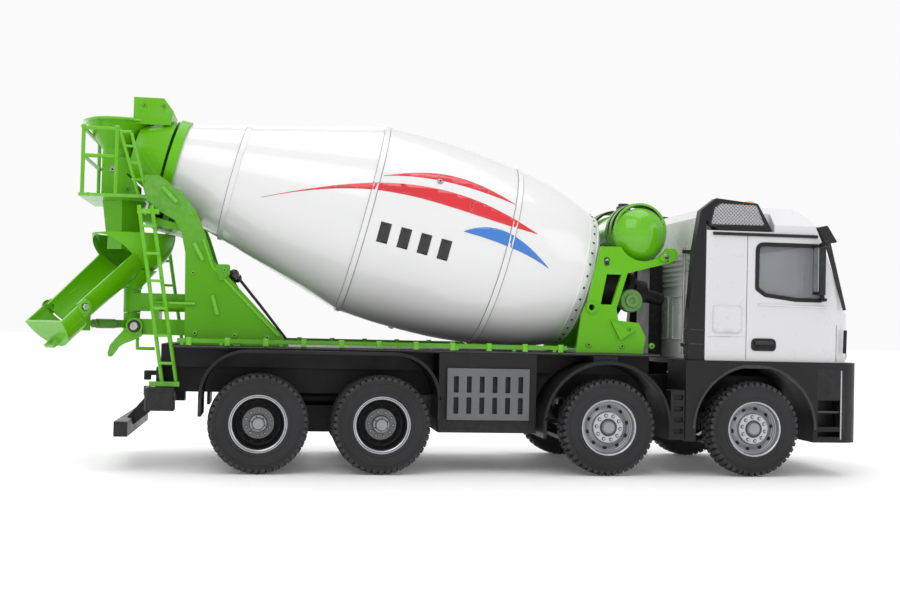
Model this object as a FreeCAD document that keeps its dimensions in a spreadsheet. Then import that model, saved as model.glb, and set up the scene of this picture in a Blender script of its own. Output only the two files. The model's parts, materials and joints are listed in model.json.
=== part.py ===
import FreeCAD, Part
import os
import Sketcher
from math import atan2, cos, pi, radians, sin, sqrt, tan

# A 1:18 toy concrete mixer on an 8x4 truck chassis.  Millimetres, +Z up, +X forwards,
# +Y to the truck's left.  The origin is on the ground under the middle of the model.

doc = FreeCAD.newDocument("toy_cement_mixer")
V = FreeCAD.Vector
sheet = doc.addObject("Spreadsheet::Sheet", "dims")

DIMENSIONS = [
    # wheels and axles
    ("tyre_dia", 60, "outside diameter of every tyre"),
    ("front_tyre_width", 18, "width of a steered tyre"),
    ("dual_tyre_width", 16, "width of each tyre of a rear pair"),
    ("dual_gap", 2, "space between the two tyres of a pair"),
    ("rim_dia", 35, "bead seat diameter, where tyre meets rim"),
    ("rim_wall", 1.6, "wall of a wheel rim"),
    ("track_width", 140, "outside to outside of the tyres"),
    ("axle_one_x", 190.2, "front axle, from the middle of the model"),
    ("axle_gap_front", 95, "first to second axle"),
    ("axle_gap_middle", 141.5, "second to third axle"),
    ("axle_gap_rear", 74, "third to fourth axle"),
    ("axle_shaft_dia", 6, "rear axle shaft"),
    ("stub_dia", 5, "stub axle of a steered wheel"),
    ("kingpin_dia", 3.6, "vertical steering pin"),
    ("kingpin_inset", 24, "tyre's outer face to the kingpin"),
    ("steering_arm", 12, "kingpin to the link's pin"),
    ("running_gap", 0.05, "radial clearance of a turning fit"),
    ("free_gap", 0.4, "clearance between parts that pass each other"),
    # chassis
    ("rail_width", 46, "over the two chassis rails"),
    ("rail_flange", 5, "width of one rail"),
    ("rail_wall", 1.5, "wall of a rail's channel"),
    ("rail_top", 62, "height of the rails' top"),
    ("rail_depth", 16, "depth of a rail"),
    ("frame_rear_x", -180.8, "rear end of the rails"),
    ("frame_front_x", 243.2, "front end of the rails"),
    ("deck_top", 76, "height of the deck"),
    ("deck_width", 116, "width of the deck"),
    ("deck_wall", 2, "wall of the deck moulding"),
    ("deck_rear_x", -169.8, "rear end of the full-width deck"),
    ("deck_front_x", 131.2, "front end of the deck"),
    ("tray_width", 70, "width of the tray under the deck"),
    ("bay_rear_x", -10.8, "rear wall of the battery bay"),
    ("bay_length", 62, "length of the battery bay"),
    ("bay_floor", 25, "height of the bay's underside"),
    ("belly_thickness", 1.5, "battery cover's outer flange"),
    # fenders
    ("fender_wall", 2, "wall of every fender"),
    ("fender_width", 35, "width of every fender"),
    ("fender_overhang", 1, "fender edge outside the tyre's face"),
    ("rear_fender_top", 74, "height of the rear fender"),
    ("rear_fender_reach", 35.5, "rear axles to the fender's ends"),
    ("rear_fender_radius", 28, "corner radius of the rear fender"),
    ("arch_gap", 9, "tyre to the inside of a front arch"),
    ("fender_foot", 23, "height of the fenders' lower ends"),
    # drum
    ("drum_x", -13.1, "middle of the drum, along the truck"),
    ("drum_z", 149.6, "middle of the drum, above the ground"),
    ("drum_tilt", 14, "drum axis to the ground, degrees"),
    ("drum_dia", 128, "largest outside diameter"),
    ("drum_rear_ring_dia", 125.4, "diameter at the middle ring"),
    ("drum_front_ring_dia", 121, "diameter at the front ring"),
    ("drum_neck_ring_dia", 76, "diameter at the neck ring"),
    ("drum_mouth_dia", 55, "outside diameter of the mouth"),
    ("drum_front_dia", 74, "diameter of the flat front end"),
    ("drum_rear_ring_at", -45, "middle ring, along the drum axis"),
    ("drum_front_ring_at", 45.5, "front ring, along the drum axis"),
    ("drum_neck_ring_at", -130, "neck ring, along the drum axis"),
    ("drum_mouth_at", -168, "mouth, along the drum axis"),
    ("drum_front_at", 109, "front end, along the drum axis"),
    ("drum_wall", 2, "wall of the drum"),
    ("ring_height", 0.9, "how far a moulded ring stands out"),
    ("ring_width", 3, "width of a moulded ring"),
    ("track_ring_dia", 60, "ring that the rollers carry"),
    ("track_ring_width", 6, "width of that ring"),
    ("roller_dia", 13, "support roller"),
    ("roller_width", 6, "width of a roller"),
    ("roller_pin_dia", 3, "pin of a roller"),
    ("roller_angle", 35, "rollers from the lowest point of the ring, degrees"),
    ("blade_depth", 11, "radial depth of a mixing blade"),
    ("blade_thickness", 1.4, "thickness of a mixing blade"),
    ("blade_turns", 1.5, "turns of each blade along the drum"),
    ("drum_shaft_dia", 14, "output shaft between gearbox and drum"),
    ("gearbox_dia", 36, "drum gearbox housing"),
    ("gearbox_length", 24, "length of the gearbox housing"),
    ("gearbox_wall", 2.5, "wall of the gearbox housing"),
    # front pedestal and water tank
    ("plate_thickness", 3, "side plates of both green frames"),
    ("pedestal_width", 95, "over the pedestal's side plates"),
    ("tank_x", 122.2, "tank centre, along the truck"),
    ("tank_z", 153, "tank centre, above the ground"),
    ("tank_dia", 35, "water tank"),
    ("tank_length", 96, "over the tank's domed ends"),
    ("tank_dome", 9, "height of each domed end"),
    # rear frame, hopper and platform
    ("rear_frame_width", 86, "over the rear frame's side plates"),
    ("shroud_rear_dia", 40, "small end of the mouth shroud"),
    ("shroud_wall", 1.5, "wall of shroud, hopper and spout"),
    ("shroud_length", 21, "length of the mouth shroud"),
    ("hopper_x", -213.4, "centre of the charging hopper"),
    ("hopper_rim_z", 217, "height of the hopper's rim"),
    ("hopper_depth", 18, "depth of the hopper's cone"),
    ("hopper_rim_dia", 44, "hopper rim"),
    ("hopper_neck_dia", 18, "hopper's lower opening"),
    ("inlet_top_z", 231, "height of the filling inlet"),
    ("spout_x", -209.3, "centre line of the discharge spout"),
    ("spout_top_dia", 30, "hexagonal spout, across its upper corners"),
    ("spout_bottom_dia", 24, "hexagonal spout, across its lower corners"),
    ("spout_bottom_z", 135, "height of the spout's mouth"),
    ("platform_z", 167.5, "height of the platform's top"),
    ("platform_width", 72, "width of the platform"),
    ("platform_rear_x", -232.8, "rear edge of the platform"),
    ("platform_sheet", 2, "thickness of the platform"),
    ("rail_tube_dia", 2.4, "railing and ladder tubes"),
    ("railing_height", 40, "railing above the platform"),
    # discharge chute
    ("chute_x", -202.8, "vertical axis that the chute swings about"),
    ("chute_rim_z", 145, "height of the chute's upper rim"),
    ("chute_bowl_dia", 52, "bowl at the chute's upper end"),
    ("chute_end_dia", 33, "trough at the chute's lower end"),
    ("chute_length", 68, "trough along its slope"),
    ("chute_slope", 41, "slope of the trough, degrees"),
    ("chute_swing", 42, "swing towards the right at rest, degrees"),
    ("chute_wall", 1.6, "wall of the trough"),
    ("chute_post_dia", 6, "spindle that the chute stands on"),
    ("post_wall", 2.4, "wall of the spindle's bearing"),
    ("flap_length", 18, "length of the folding end scoop"),
    # cab
    ("cab_rear_x", 157.2, "rear wall of the cab"),
    ("cab_front_x", 259.2, "front of the cab"),
    ("cab_width", 134, "width of the cab"),
    ("cab_floor", 73, "height of the cab shell's lower edge"),
    ("cab_roof", 172, "height of the roof"),
    ("cab_wall", 2.5, "wall of the cab shell"),
    ("cab_corner", 12, "radius of the cab's front corners"),
    ("window_sill", 113, "height of the window sill"),
    ("window_head", 147.5, "height of the window's upper edge"),
    ("glass_thickness", 1.4, "clear plastic of the windows"),
    ("bumper_bottom", 22, "height of the bumper's lower edge"),
    ("bumper_front_x", 263.2, "front of the bumper"),
    ("mirror_width", 160, "over the mirrors"),
]

for row, (alias, value, note) in enumerate(DIMENSIONS, start=1):
    sheet.set("A%d" % row, alias)
    sheet.set("B%d" % row, str(value))
    sheet.set("C%d" % row, note)
    sheet.setAlias("B%d" % row, alias)
doc.recompute()


class Size:
    """A length with the sheet formula that gives it."""

    def __init__(self, value, text):
        self.value = float(value)
        self.text = text

    def __add__(self, other):
        other = size(other)
        return Size(self.value + other.value, "(%s + %s)" % (self.text, other.text))

    def __sub__(self, other):
        other = size(other)
        return Size(self.value - other.value, "(%s - %s)" % (self.text, other.text))

    def __mul__(self, other):
        other = size(other)
        return Size(self.value * other.value, "(%s * %s)" % (self.text, other.text))

    def __truediv__(self, other):
        other = size(other)
        return Size(self.value / other.value, "(%s / %s)" % (self.text, other.text))

    def __radd__(self, other):
        return size(other) + self

    def __rsub__(self, other):
        return size(other) - self

    def __rmul__(self, other):
        return size(other) * self

    def __neg__(self):
        return Size(-self.value, "(0 - %s)" % self.text)


def size(value):
    return value if isinstance(value, Size) else Size(value, "(%r)" % float(value))


def root(value):
    return Size(sqrt(value.value), "sqrt(%s)" % value.text)


def sine(angle):
    return Size(sin(radians(angle.value)), "sin(%s * 1deg)" % angle.text)


def cosine(angle):
    return Size(cos(radians(angle.value)), "cos(%s * 1deg)" % angle.text)


def bearing(across, along):
    """The angle, in degrees, of the direction (along, across)."""
    value = atan2(across.value, along.value) * 180 / pi
    return Size(value, "(atan2(%s; %s) / 1deg)" % (across.text, along.text))


DIM = {alias: Size(value, "dims." + alias) for alias, value, note in DIMENSIONS}


# ---------------------------------------------------------------- building blocks


def bind(thing, path, value):
    thing.setExpression(path, size(value).text)


def put(thing, x=0, y=0, z=0, axis=None, angle=None):
    """Place a thing; the angle turns it about the axis through that point."""
    x, y, z = size(x), size(y), size(z)
    turn = FreeCAD.Rotation()
    if axis is not None:
        turn = FreeCAD.Rotation(V(*axis), size(angle).value)
    thing.Placement = FreeCAD.Placement(V(x.value, y.value, z.value), turn)
    for letter, place in zip("xyz", (x, y, z)):
        bind(thing, "Placement.Base." + letter, place)
    if isinstance(angle, Size):
        bind(thing, "Placement.Rotation.Angle", angle)
    return thing


def box(x, y, z):
    """A block from three (low, high) pairs."""
    block = doc.addObject("Part::Box", "block")
    for name, (low, high) in zip(("Length", "Width", "Height"), (x, y, z)):
        bind(block, name, size(high) - low)
    return put(block, x[0], y[0], z[0])


def bar(axis, start, stop, radius, first, second, small_radius=None):
    """A round bar along an axis; first and second are its other two coordinates."""
    kind = "Part::Cylinder" if small_radius is None else "Part::Cone"
    rod = doc.addObject(kind, "rod")
    bind(rod, "Height", size(stop) - start)
    if small_radius is None:
        bind(rod, "Radius", radius)
    else:
        bind(rod, "Radius1", radius)
        bind(rod, "Radius2", small_radius)
    if axis == "x":
        return put(rod, start, first, second, (0, 1, 0), 90)
    if axis == "y":
        return put(rod, first, start, second, (1, 0, 0), -90)
    return put(rod, first, second, start)


def ball(radius, x, y, z):
    sphere = doc.addObject("Part::Sphere", "ball")
    bind(sphere, "Radius", radius)
    return put(sphere, x, y, z)


def slant(low, high, radius, y):
    """A round tube from low to high, both (x, z), in the plane at y."""
    across, along = size(high[0]) - low[0], size(high[1]) - low[1]
    rod = doc.addObject("Part::Cylinder", "tube")
    bind(rod, "Height", root(across * across + along * along))
    bind(rod, "Radius", radius)
    return put(rod, low[0], y, low[1], (0, 1, 0), bearing(across, along))


def fuse(*things):
    joined = doc.addObject("Part::MultiFuse", "joined")
    joined.Shapes = list(things)
    joined.Refine = True
    return joined


def cut(base, *tools):
    trimmed = doc.addObject("Part::Cut", "trimmed")
    trimmed.Base = base
    trimmed.Tool = tools[0] if len(tools) == 1 else fuse(*tools)
    return trimmed


def common(first, second):
    shared = doc.addObject("Part::Common", "shared")
    shared.Base = first
    shared.Tool = second
    return shared


def group(*things):
    """Separate solids that share one node, or one solid that is placed twice."""
    together = doc.addObject("Part::Compound", "together")
    together.Links = list(things)
    return together


NODES = []


def node(name, thing):
    thing.Label = name
    NODES.append(thing)
    return thing


def origin_plane(body, role):
    return next(f for f in body.Origin.OriginFeatures if f.Role == role)


def arc(start, end, radius):
    """The short arc from start to end; a positive radius turns left."""
    (ax, ay), (bx, by) = start, end
    chord = sqrt((bx - ax) ** 2 + (by - ay) ** 2)
    rise = sqrt(radius * radius - chord * chord / 4) / chord
    side = 1 if radius > 0 else -1
    cx = (ax + bx) / 2 - side * rise * (by - ay)
    cy = (ay + by) / 2 + side * rise * (bx - ax)
    first, last = atan2(ay - cy, ax - cx), atan2(by - cy, bx - cx)
    circle = Part.Circle(V(cx, cy, 0), V(0, 0, 1), abs(radius))
    if side > 0:
        return Part.ArcOfCircle(circle, first, last)
    return Part.ArcOfCircle(circle, last, first)


def outline(body, role, points, offset=0):
    """A closed sketch. A third number on a point rounds the way there to that radius."""
    sketch = body.newObject("Sketcher::SketchObject", "outline")
    sketch.AttachmentSupport = [(origin_plane(body, role), "")]
    sketch.MapMode = "FlatFace"
    sketch.AttachmentOffset = FreeCAD.Placement(V(0, 0, size(offset).value), FreeCAD.Rotation())
    bind(sketch, "AttachmentOffset.Base.z", offset)
    points = [tuple(size(number) for number in point) for point in points]
    ends = []
    for index, point in enumerate(points):
        target = points[(index + 1) % len(points)]
        start = (point[0].value, point[1].value)
        end = (target[0].value, target[1].value)
        if len(target) == 3:
            sketch.addGeometry(arc(start, end, target[2].value), False)
            ends.append((1, 2) if target[2].value > 0 else (2, 1))
        else:
            sketch.addGeometry(Part.LineSegment(V(*start, 0), V(*end, 0)), False)
            ends.append((1, 2))
    for index in range(len(points)):
        follower = (index + 1) % len(points)
        sketch.addConstraint(
            Sketcher.Constraint("Coincident", index, ends[index][1], follower, ends[follower][0])
        )
    for index, point in enumerate(points):
        for kind, number, axis in (("DistanceX", point[0], -2), ("DistanceY", point[1], -1)):
            if number.value == 0:
                sketch.addConstraint(
                    Sketcher.Constraint("PointOnObject", index, ends[index][0], axis)
                )
                continue
            made = sketch.addConstraint(
                Sketcher.Constraint(kind, -1, 1, index, ends[index][0], number.value)
            )
            bind(sketch, "Constraints[%d]" % made, number)
        if len(point) == 3:
            before = (index - 1) % len(points)
            made = sketch.addConstraint(Sketcher.Constraint("Radius", before, abs(point[2].value)))
            bind(sketch, "Constraints[%d]" % made, point[2] if point[2].value > 0 else -point[2])
    return sketch


def pad(role, points, start, stop):
    """A plate of the given outline between two positions along its plane's axis."""
    body = doc.addObject("PartDesign::Body", "plate")
    start, stop = size(start), size(stop)
    offset = -stop if role == "XZ_Plane" else start
    profile = outline(body, role, points, offset)
    feature = body.newObject("PartDesign::Pad", "pad")
    feature.Profile = profile
    bind(feature, "Length", stop - start)
    return body


def turned(role, points):
    """A turned piece: the outline's first coordinate runs along the axis."""
    body = doc.addObject("PartDesign::Body", "turned")
    profile = outline(body, role, points)
    feature = body.newObject("PartDesign::Revolution", "revolution")
    feature.Profile = profile
    feature.ReferenceAxis = (profile, ["H_Axis"])
    feature.Angle = 360
    return body


def sides(inner, outer):
    """The (low, high) pairs of Y on the right and on the left of the truck."""
    inner, outer = size(inner), size(outer)
    return ((-outer, -inner), (inner, outer))


# ---------------------------------------------------------------- derived places

half_track = DIM["track_width"] / 2
axle_z = DIM["tyre_dia"] / 2
axle_one = DIM["axle_one_x"]
axle_two = axle_one - DIM["axle_gap_front"]
axle_three = axle_two - DIM["axle_gap_middle"]
axle_four = axle_three - DIM["axle_gap_rear"]
gap = DIM["running_gap"]
free = DIM["free_gap"]
rail_out = DIM["rail_width"] / 2
rail_in = rail_out - DIM["rail_flange"]
rail_top = DIM["rail_top"]
rail_low = rail_top - DIM["rail_depth"]
deck_top = DIM["deck_top"]
deck_under = deck_top - DIM["deck_wall"]
deck_out = DIM["deck_width"] / 2
bay_front_x = DIM["bay_rear_x"] + DIM["bay_length"]
kingpin_y = half_track - DIM["kingpin_inset"]
tilt = DIM["drum_tilt"]
plate = DIM["plate_thickness"]
TILT_AXIS = (0, 1, 0)


def on_drum(along, above=0):
    """X and Z of a point on the drum's own axes: along it, and square above it."""
    along, above = size(along), size(above)
    x = DIM["drum_x"] + along * cosine(tilt) + above * sine(tilt)
    z = DIM["drum_z"] - along * sine(tilt) + above * cosine(tilt)
    return x, z


def on_axis(thing):
    """Put a piece made along +X about the origin onto the drum's axis."""
    return put(thing, DIM["drum_x"], 0, DIM["drum_z"], TILT_AXIS, tilt)


# ---------------------------------------------------------------- chassis


def front_axle_beam(x):
    """A beam with a fork at each end, hung under the rails on two spring blocks."""
    beam_low, beam_high = axle_z - 4, axle_z + 5
    ear_in, ear_out = kingpin_y - 4, kingpin_y + 4
    pieces = [box((x - 4, x + 4), (-ear_in, ear_in), (beam_low, beam_high))]
    for low, high in sides(ear_in - 3, ear_out):
        pieces.append(box((x - 4, x + 4), (low, high), (axle_z + 7, axle_z + 10)))
        pieces.append(box((x - 4, x + 4), (low, high), (axle_z - 10, axle_z - 7)))
    for low, high in sides(ear_in - 3, ear_in - free):
        pieces.append(box((x - 4, x + 4), (low, high), (axle_z - 10, axle_z + 10)))
    for low, high in sides(rail_in, rail_out):
        pieces.append(box((x - 7, x + 7), (low, high), (beam_high - 1, rail_low + 2)))
    bores = []
    for y in (-kingpin_y, kingpin_y):
        radius = DIM["kingpin_dia"] / 2 + gap
        bores.append(bar("z", axle_z - 11, axle_z + 11, radius, x, y))
    return cut(fuse(*pieces), *bores)


def rear_hangers(x):
    """Bearing plates under the rails that carry a rear axle."""
    pieces = []
    for low, high in sides(rail_in, rail_out):
        pieces.append(
            pad(
                "XZ_Plane",
                [
                    (x - 16, rail_low + 2),
                    (x - 7, axle_z - 4),
                    (x - 4, axle_z - 7),
                    (x + 4, axle_z - 7),
                    (x + 7, axle_z - 4),
                    (x + 16, rail_low + 2),
                ],
                low,
                high,
            )
        )
    bore = bar("y", -rail_out - 1, rail_out + 1, DIM["axle_shaft_dia"] / 2 + gap, x, axle_z)
    return cut(fuse(*pieces), bore)


def chassis_frame():
    pieces, channels = [], []
    rear, front = DIM["frame_rear_x"], DIM["frame_front_x"]
    wall = DIM["rail_wall"]
    for low, high in sides(rail_in, rail_out):
        pieces.append(box((rear, front), (low, high), (rail_low, rail_top)))
    for low, high in sides(rail_in - 1, rail_out - wall):
        channels.append(box((rear - 1, front + 1), (low, high), (rail_low + wall, rail_top - wall)))
    rails = cut(fuse(*pieces), *channels)
    members = []
    for x in (rear + 4, axle_three + 30, bay_front_x + 12, axle_two + 19, front - 6):
        members.append(box((x - 3, x + 3), (-rail_out, rail_out), (rail_low, rail_top - wall)))
    beams = [front_axle_beam(axle_one), front_axle_beam(axle_two)]
    hangers = [rear_hangers(axle_three), rear_hangers(axle_four)]
    return fuse(rails, *members, *beams, *hangers)


def deck_body():
    """The black deck moulding: a top plate, a tray under it and the battery bay."""
    wall = DIM["deck_wall"]
    rear, front = DIM["deck_rear_x"], DIM["deck_front_x"]
    tray_out = DIM["tray_width"] / 2
    tray_rear = DIM["frame_rear_x"]
    top = box((rear, front), (-deck_out, deck_out), (deck_under, deck_top))
    tray = box((tray_rear, front), (-tray_out, tray_out), (rail_top, deck_top))
    bay_x = (DIM["bay_rear_x"], bay_front_x)
    bay = box(bay_x, (-deck_out, deck_out), (DIM["bay_floor"], deck_top))
    shell = cut(
        fuse(top, tray, bay),
        box(
            (tray_rear + wall, front - wall),
            (wall - tray_out, tray_out - wall),
            (rail_top - 1, deck_under),
        ),
        box(
            (bay_x[0] + wall, bay_x[1] - wall),
            (wall - deck_out, deck_out - wall),
            (DIM["bay_floor"] + wall, deck_under),
        ),
    )
    ribs = []
    for low, high in sides(rail_in, rail_out):
        ribs.append(box((tray_rear + wall, front - wall), (low, high), (rail_top, deck_under + 1)))
    openings = []
    for low, high in sides(rail_in - 0.1, rail_out + 0.1):
        openings.append(box((bay_x[0] - 1, bay_x[1] + 1), (low, high), (rail_low - 0.1, rail_top)))
    hatch = battery_hatch(0)
    openings.append(box(*hatch, (DIM["bay_floor"] - 1, DIM["bay_floor"] + wall + 1)))
    slot_x, slot_y = switch_slot()
    openings.append(box(slot_x, slot_y, (DIM["bay_floor"] - 1, DIM["bay_floor"] + wall + 1)))
    return cut(fuse(shell, *ribs), *openings)


def battery_hatch(inset):
    """The hatch in the bay's floor, made smaller all round by an inset."""
    x = (DIM["bay_rear_x"] + 6 + inset, bay_front_x - 10 - inset)
    return x, (inset - 17, 17 - size(inset))


def battery_cover():
    floor = DIM["bay_floor"]
    plug = box(*battery_hatch(0.2), (floor - 0.5, floor + DIM["deck_wall"]))
    flange = box(*battery_hatch(-2.5), (floor - DIM["belly_thickness"], floor))
    x = DIM["bay_rear_x"] + 3.5 + 3
    screw_recess = bar("z", floor - 3, floor - 0.8, 1.6, x, 0)
    return cut(fuse(plug, flange), screw_recess)


def battery_pack():
    x, y = battery_hatch(1.5)
    floor = DIM["bay_floor"] + DIM["deck_wall"]
    cells = []
    radius = (y[1] - y[0]) / 4
    for side in (-1, 1):
        for level in (1, 2.9):
            height = floor + radius * level
            cells.append(bar("x", x[0], x[1], radius, radius * side * 0.96, height))
    middle = box((x[0] + 1, x[1] - 1), (-3, 3), (floor, floor + radius * 3.6))
    return fuse(*cells, middle)


def switch_slot():
    x = DIM["bay_rear_x"] + 24
    y = deck_out - 22
    return (x, x + 9), (y - 1.6, y + 1.6)


def power_switch():
    """A sliding knob: it travels towards the front of its slot."""
    (x, _), (low, high) = switch_slot()
    floor = DIM["bay_floor"]
    inside = floor + DIM["deck_wall"]
    stem = box((x + 0.4, x + 3.6), (low + 0.4, high - 0.4), (floor - 0.5, inside + 1))
    cap = box((x - 0.2, x + 4.2), (low - 1, high + 1), (floor - 2, floor - 0.4))
    slide = box((x - 2, x + 6), (low - 2, high + 2), (inside + 0.4, inside + 1.8))
    return fuse(stem, cap, slide)


def circuit_board():
    x = bay_front_x + 14
    low = deck_under - 6
    board = box((x, x + 44), (-14, 14), (low, low + 1.6))
    chip = box((x + 8, x + 18), (-5, 5), (low - 1.2, low))
    can = bar("z", low - 3, low, 2.4, x + 27, 6)
    plug = box((x + 34, x + 40), (-6, 6), (low - 3, low))
    posts = []
    for post_x in (x + 3, x + 41):
        for post_y in (-11.5, 11.5):
            posts.append(bar("z", low + 1.6, deck_under, 1.5, post_x, post_y))
    return fuse(board, chip, can, plug, *posts)


def drive_unit():
    """Motor and gear case between the rear axles; both shafts pass through it."""
    rear, front = axle_four - 9, axle_three + 9
    half = rail_in - 3
    case = box((rear, front), (-half, half), (axle_z - 9, axle_z + 8))
    motor = bar("x", axle_four + 16, axle_three - 14, 8, 0, axle_z + 12)
    brackets = []
    for x in (axle_four + 20, axle_three - 22):
        brackets.append(
            box((x - 2, x + 2), (-rail_in, rail_in), (axle_z + 3, rail_low + DIM["rail_wall"]))
        )
    bores = []
    for x in (axle_three, axle_four):
        radius = DIM["axle_shaft_dia"] / 2 + free
        bores.append(bar("y", -half - 1, half + 1, radius, x, axle_z))
    return cut(fuse(case, motor, *brackets), *bores)


def steering_servo():
    x = (axle_one + axle_two) / 2 - 6
    case = box((x - 12, x + 12), (-7, 7), (rail_low + 2, rail_top - 2))
    ears = box((x - 16, x + 16), (-7, 7), (rail_top - 6, rail_top - 4))
    web = rail_out - DIM["rail_wall"]
    shelf = box((x - 15, x - 11), (-web, web), (rail_low + 4, rail_top - 6))
    spline = bar("z", rail_low - 2, rail_low + 2, 2.5, x + 6, 0)
    horn = box((x + 4, x + 8), (-9, 9), (rail_low - 4, rail_low - 2))
    return fuse(case, ears, shelf, spline, horn)


node("chassis_frame", chassis_frame())
node("deck_body", deck_body())
node("battery_cover", battery_cover())
node("battery_pack", battery_pack())
node("power_switch", power_switch())
node("circuit_board", circuit_board())
node("drive_unit", drive_unit())
node("steering_servo", steering_servo())


# ---------------------------------------------------------------- fenders and side panels


def tunnel(x, z, radius, y):
    """A block whose two upper corners along X are rounded."""
    (rear, front), (low, high) = x, z
    radius = size(radius)
    return pad(
        "XZ_Plane",
        [
            (rear, low),
            (rear, high - radius),
            (rear + radius, high, -radius),
            (front - radius, high),
            (front, high - radius, -radius),
            (front, low),
        ],
        y[0],
        y[1],
    )


def fender(x, top, radius, foot, y):
    """An arched sheet over the wheels, open below."""
    wall = DIM["fender_wall"]
    low, high = y
    outside = tunnel(x, (foot, top), radius, y)
    inside = tunnel(
        (x[0] + wall, x[1] - wall), (foot - 1, top - wall), radius - wall, (low - 1, high + 1)
    )
    return cut(outside, inside)


fender_out = half_track + DIM["fender_overhang"]
fender_in = fender_out - DIM["fender_width"]
arch_in = DIM["tyre_dia"] / 2 + DIM["arch_gap"]
arch_out = arch_in + DIM["fender_wall"]


def rear_fenders():
    reach = DIM["rear_fender_reach"]
    x = (axle_four - reach, axle_three + reach)
    top = DIM["rear_fender_top"]
    foot = axle_z + 4
    made = []
    for y in sides(fender_in, fender_out):
        made.append(fender(x, top, DIM["rear_fender_radius"], foot, y))
    return made


def middle_fenders():
    """Arches over the second axle, each with the ribbed side step in front of it."""
    made = []
    centre = axle_two - 1
    x = (centre - arch_out, centre + arch_out)
    top = axle_z + arch_out
    for y in sides(fender_in, fender_out):
        arch = fender(x, top, arch_out - 1, DIM["fender_foot"], y)
        outside = y[0].value < 0
        step_y = (y[0], y[1] - 24) if outside else (y[0] + 24, y[1])
        step = box((x[1] - 1, x[1] + 8), step_y, (DIM["fender_foot"], axle_z + 24))
        skin = (step_y[0] - 1, step_y[0] + 2) if outside else (step_y[1] - 2, step_y[1] + 1)
        grooves = []
        for level in (4, 11, 18, 25):
            height = DIM["fender_foot"] + level
            grooves.append(box((x[1] + 1, x[1] + 7), skin, (height, height + 3)))
        hanger = box((centre - 8, centre + 8), (y[0] + 8, y[1] - 8), (top - 1, deck_under))
        made.append(fuse(arch, hanger, cut(step, *grooves)))
    return made


def side_covers():
    """Silver slotted covers on both sides of the battery bay."""
    made = []
    rear, front = DIM["bay_rear_x"] + 5, bay_front_x - 5
    low, high = DIM["bay_floor"] + 8, rail_top + 3
    pitch = (front - rear) / 6.4
    for y in sides(deck_out, deck_out + 2.5):
        slots = []
        for column in range(6):
            middle = rear + pitch * (column + 0.7)
            for bottom, top in ((low + 4, low + 14), (low + 17, high - 5)):
                slots.append(
                    box((middle - 1.5, middle + 1.5), (y[0] - 1, y[1] + 1), (bottom, top))
                )
        made.append(cut(box((rear, front), y, (low, high)), *slots))
    return group(*made)


node("fenders", group(*rear_fenders(), *middle_fenders()))
node("side_covers", side_covers())


# ---------------------------------------------------------------- tail


def lamp_y():
    return sides(deck_out - 16, deck_out - 2)


def rear_bumper():
    rear = DIM["frame_rear_x"]
    back = rear - 2
    beam = box((rear - 24, rear - 16), (-62, 62), (21, 30))
    panel = box((back, rear), (15.5 - deck_out, deck_out - 15.5), (axle_z + 6, rail_top))
    arms = []
    for low, high in sides(rail_out + 2, rail_out + 7):
        arms.append(
            pad(
                "XZ_Plane",
                [(rear - 20, 22), (rear - 20, 30), (back + 0.5, 52), (back + 0.5, 38)],
                low,
                high,
            )
        )
    lamps = []
    for y in lamp_y():
        lamps.append(box((rear - 6, rear + 10), y, (axle_z + 6, axle_z + 20)))
    hook = cut(
        box((rear - 13, back), (-4, 4), (axle_z + 12, axle_z + 28)),
        box((rear - 9, rear - 5), (-5, 5), (axle_z + 15, axle_z + 25)),
        box((rear - 14, rear - 8), (-5, 5), (axle_z + 18, axle_z + 22)),
    )
    return fuse(beam, panel, *arms, *lamps, hook)


def tail_lights():
    rear = DIM["frame_rear_x"] - 6
    made = []
    for low, high in lamp_y():
        made.append(box((rear - 1.5, rear), (low + 1.5, high - 1.5), (axle_z + 8, axle_z + 18)))
    return group(*made)


node("rear_bumper", rear_bumper())
node("tail_lights", tail_lights())


# ---------------------------------------------------------------- rear frame

frame_out = DIM["rear_frame_width"] / 2
frame_in = frame_out - plate
frame_foot_x = DIM["deck_rear_x"] + 3.5
FRAME_RISE = (
    (-1, 54),
    (-3.5, 66),
    (-8, 74),
    (-19, 80),
    (-25, 87),
    (-26.5, 95),
)
FRAME_FALL = (
    (-26.5, 101),
    (-17.5, 101),
    (-12, 97),
    (-3, 90),
    (5, 80),
    (10, 68),
    (16, 50),
    (59, 5),
    (63, 0),
)
roller_reach = DIM["track_ring_dia"] / 2 + DIM["roller_dia"] / 2 + 0.3
roller_along = DIM["drum_mouth_at"] - 1.5
roller_side = roller_reach * sine(DIM["roller_angle"])
roller_down = -roller_reach * cosine(DIM["roller_angle"])


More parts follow.
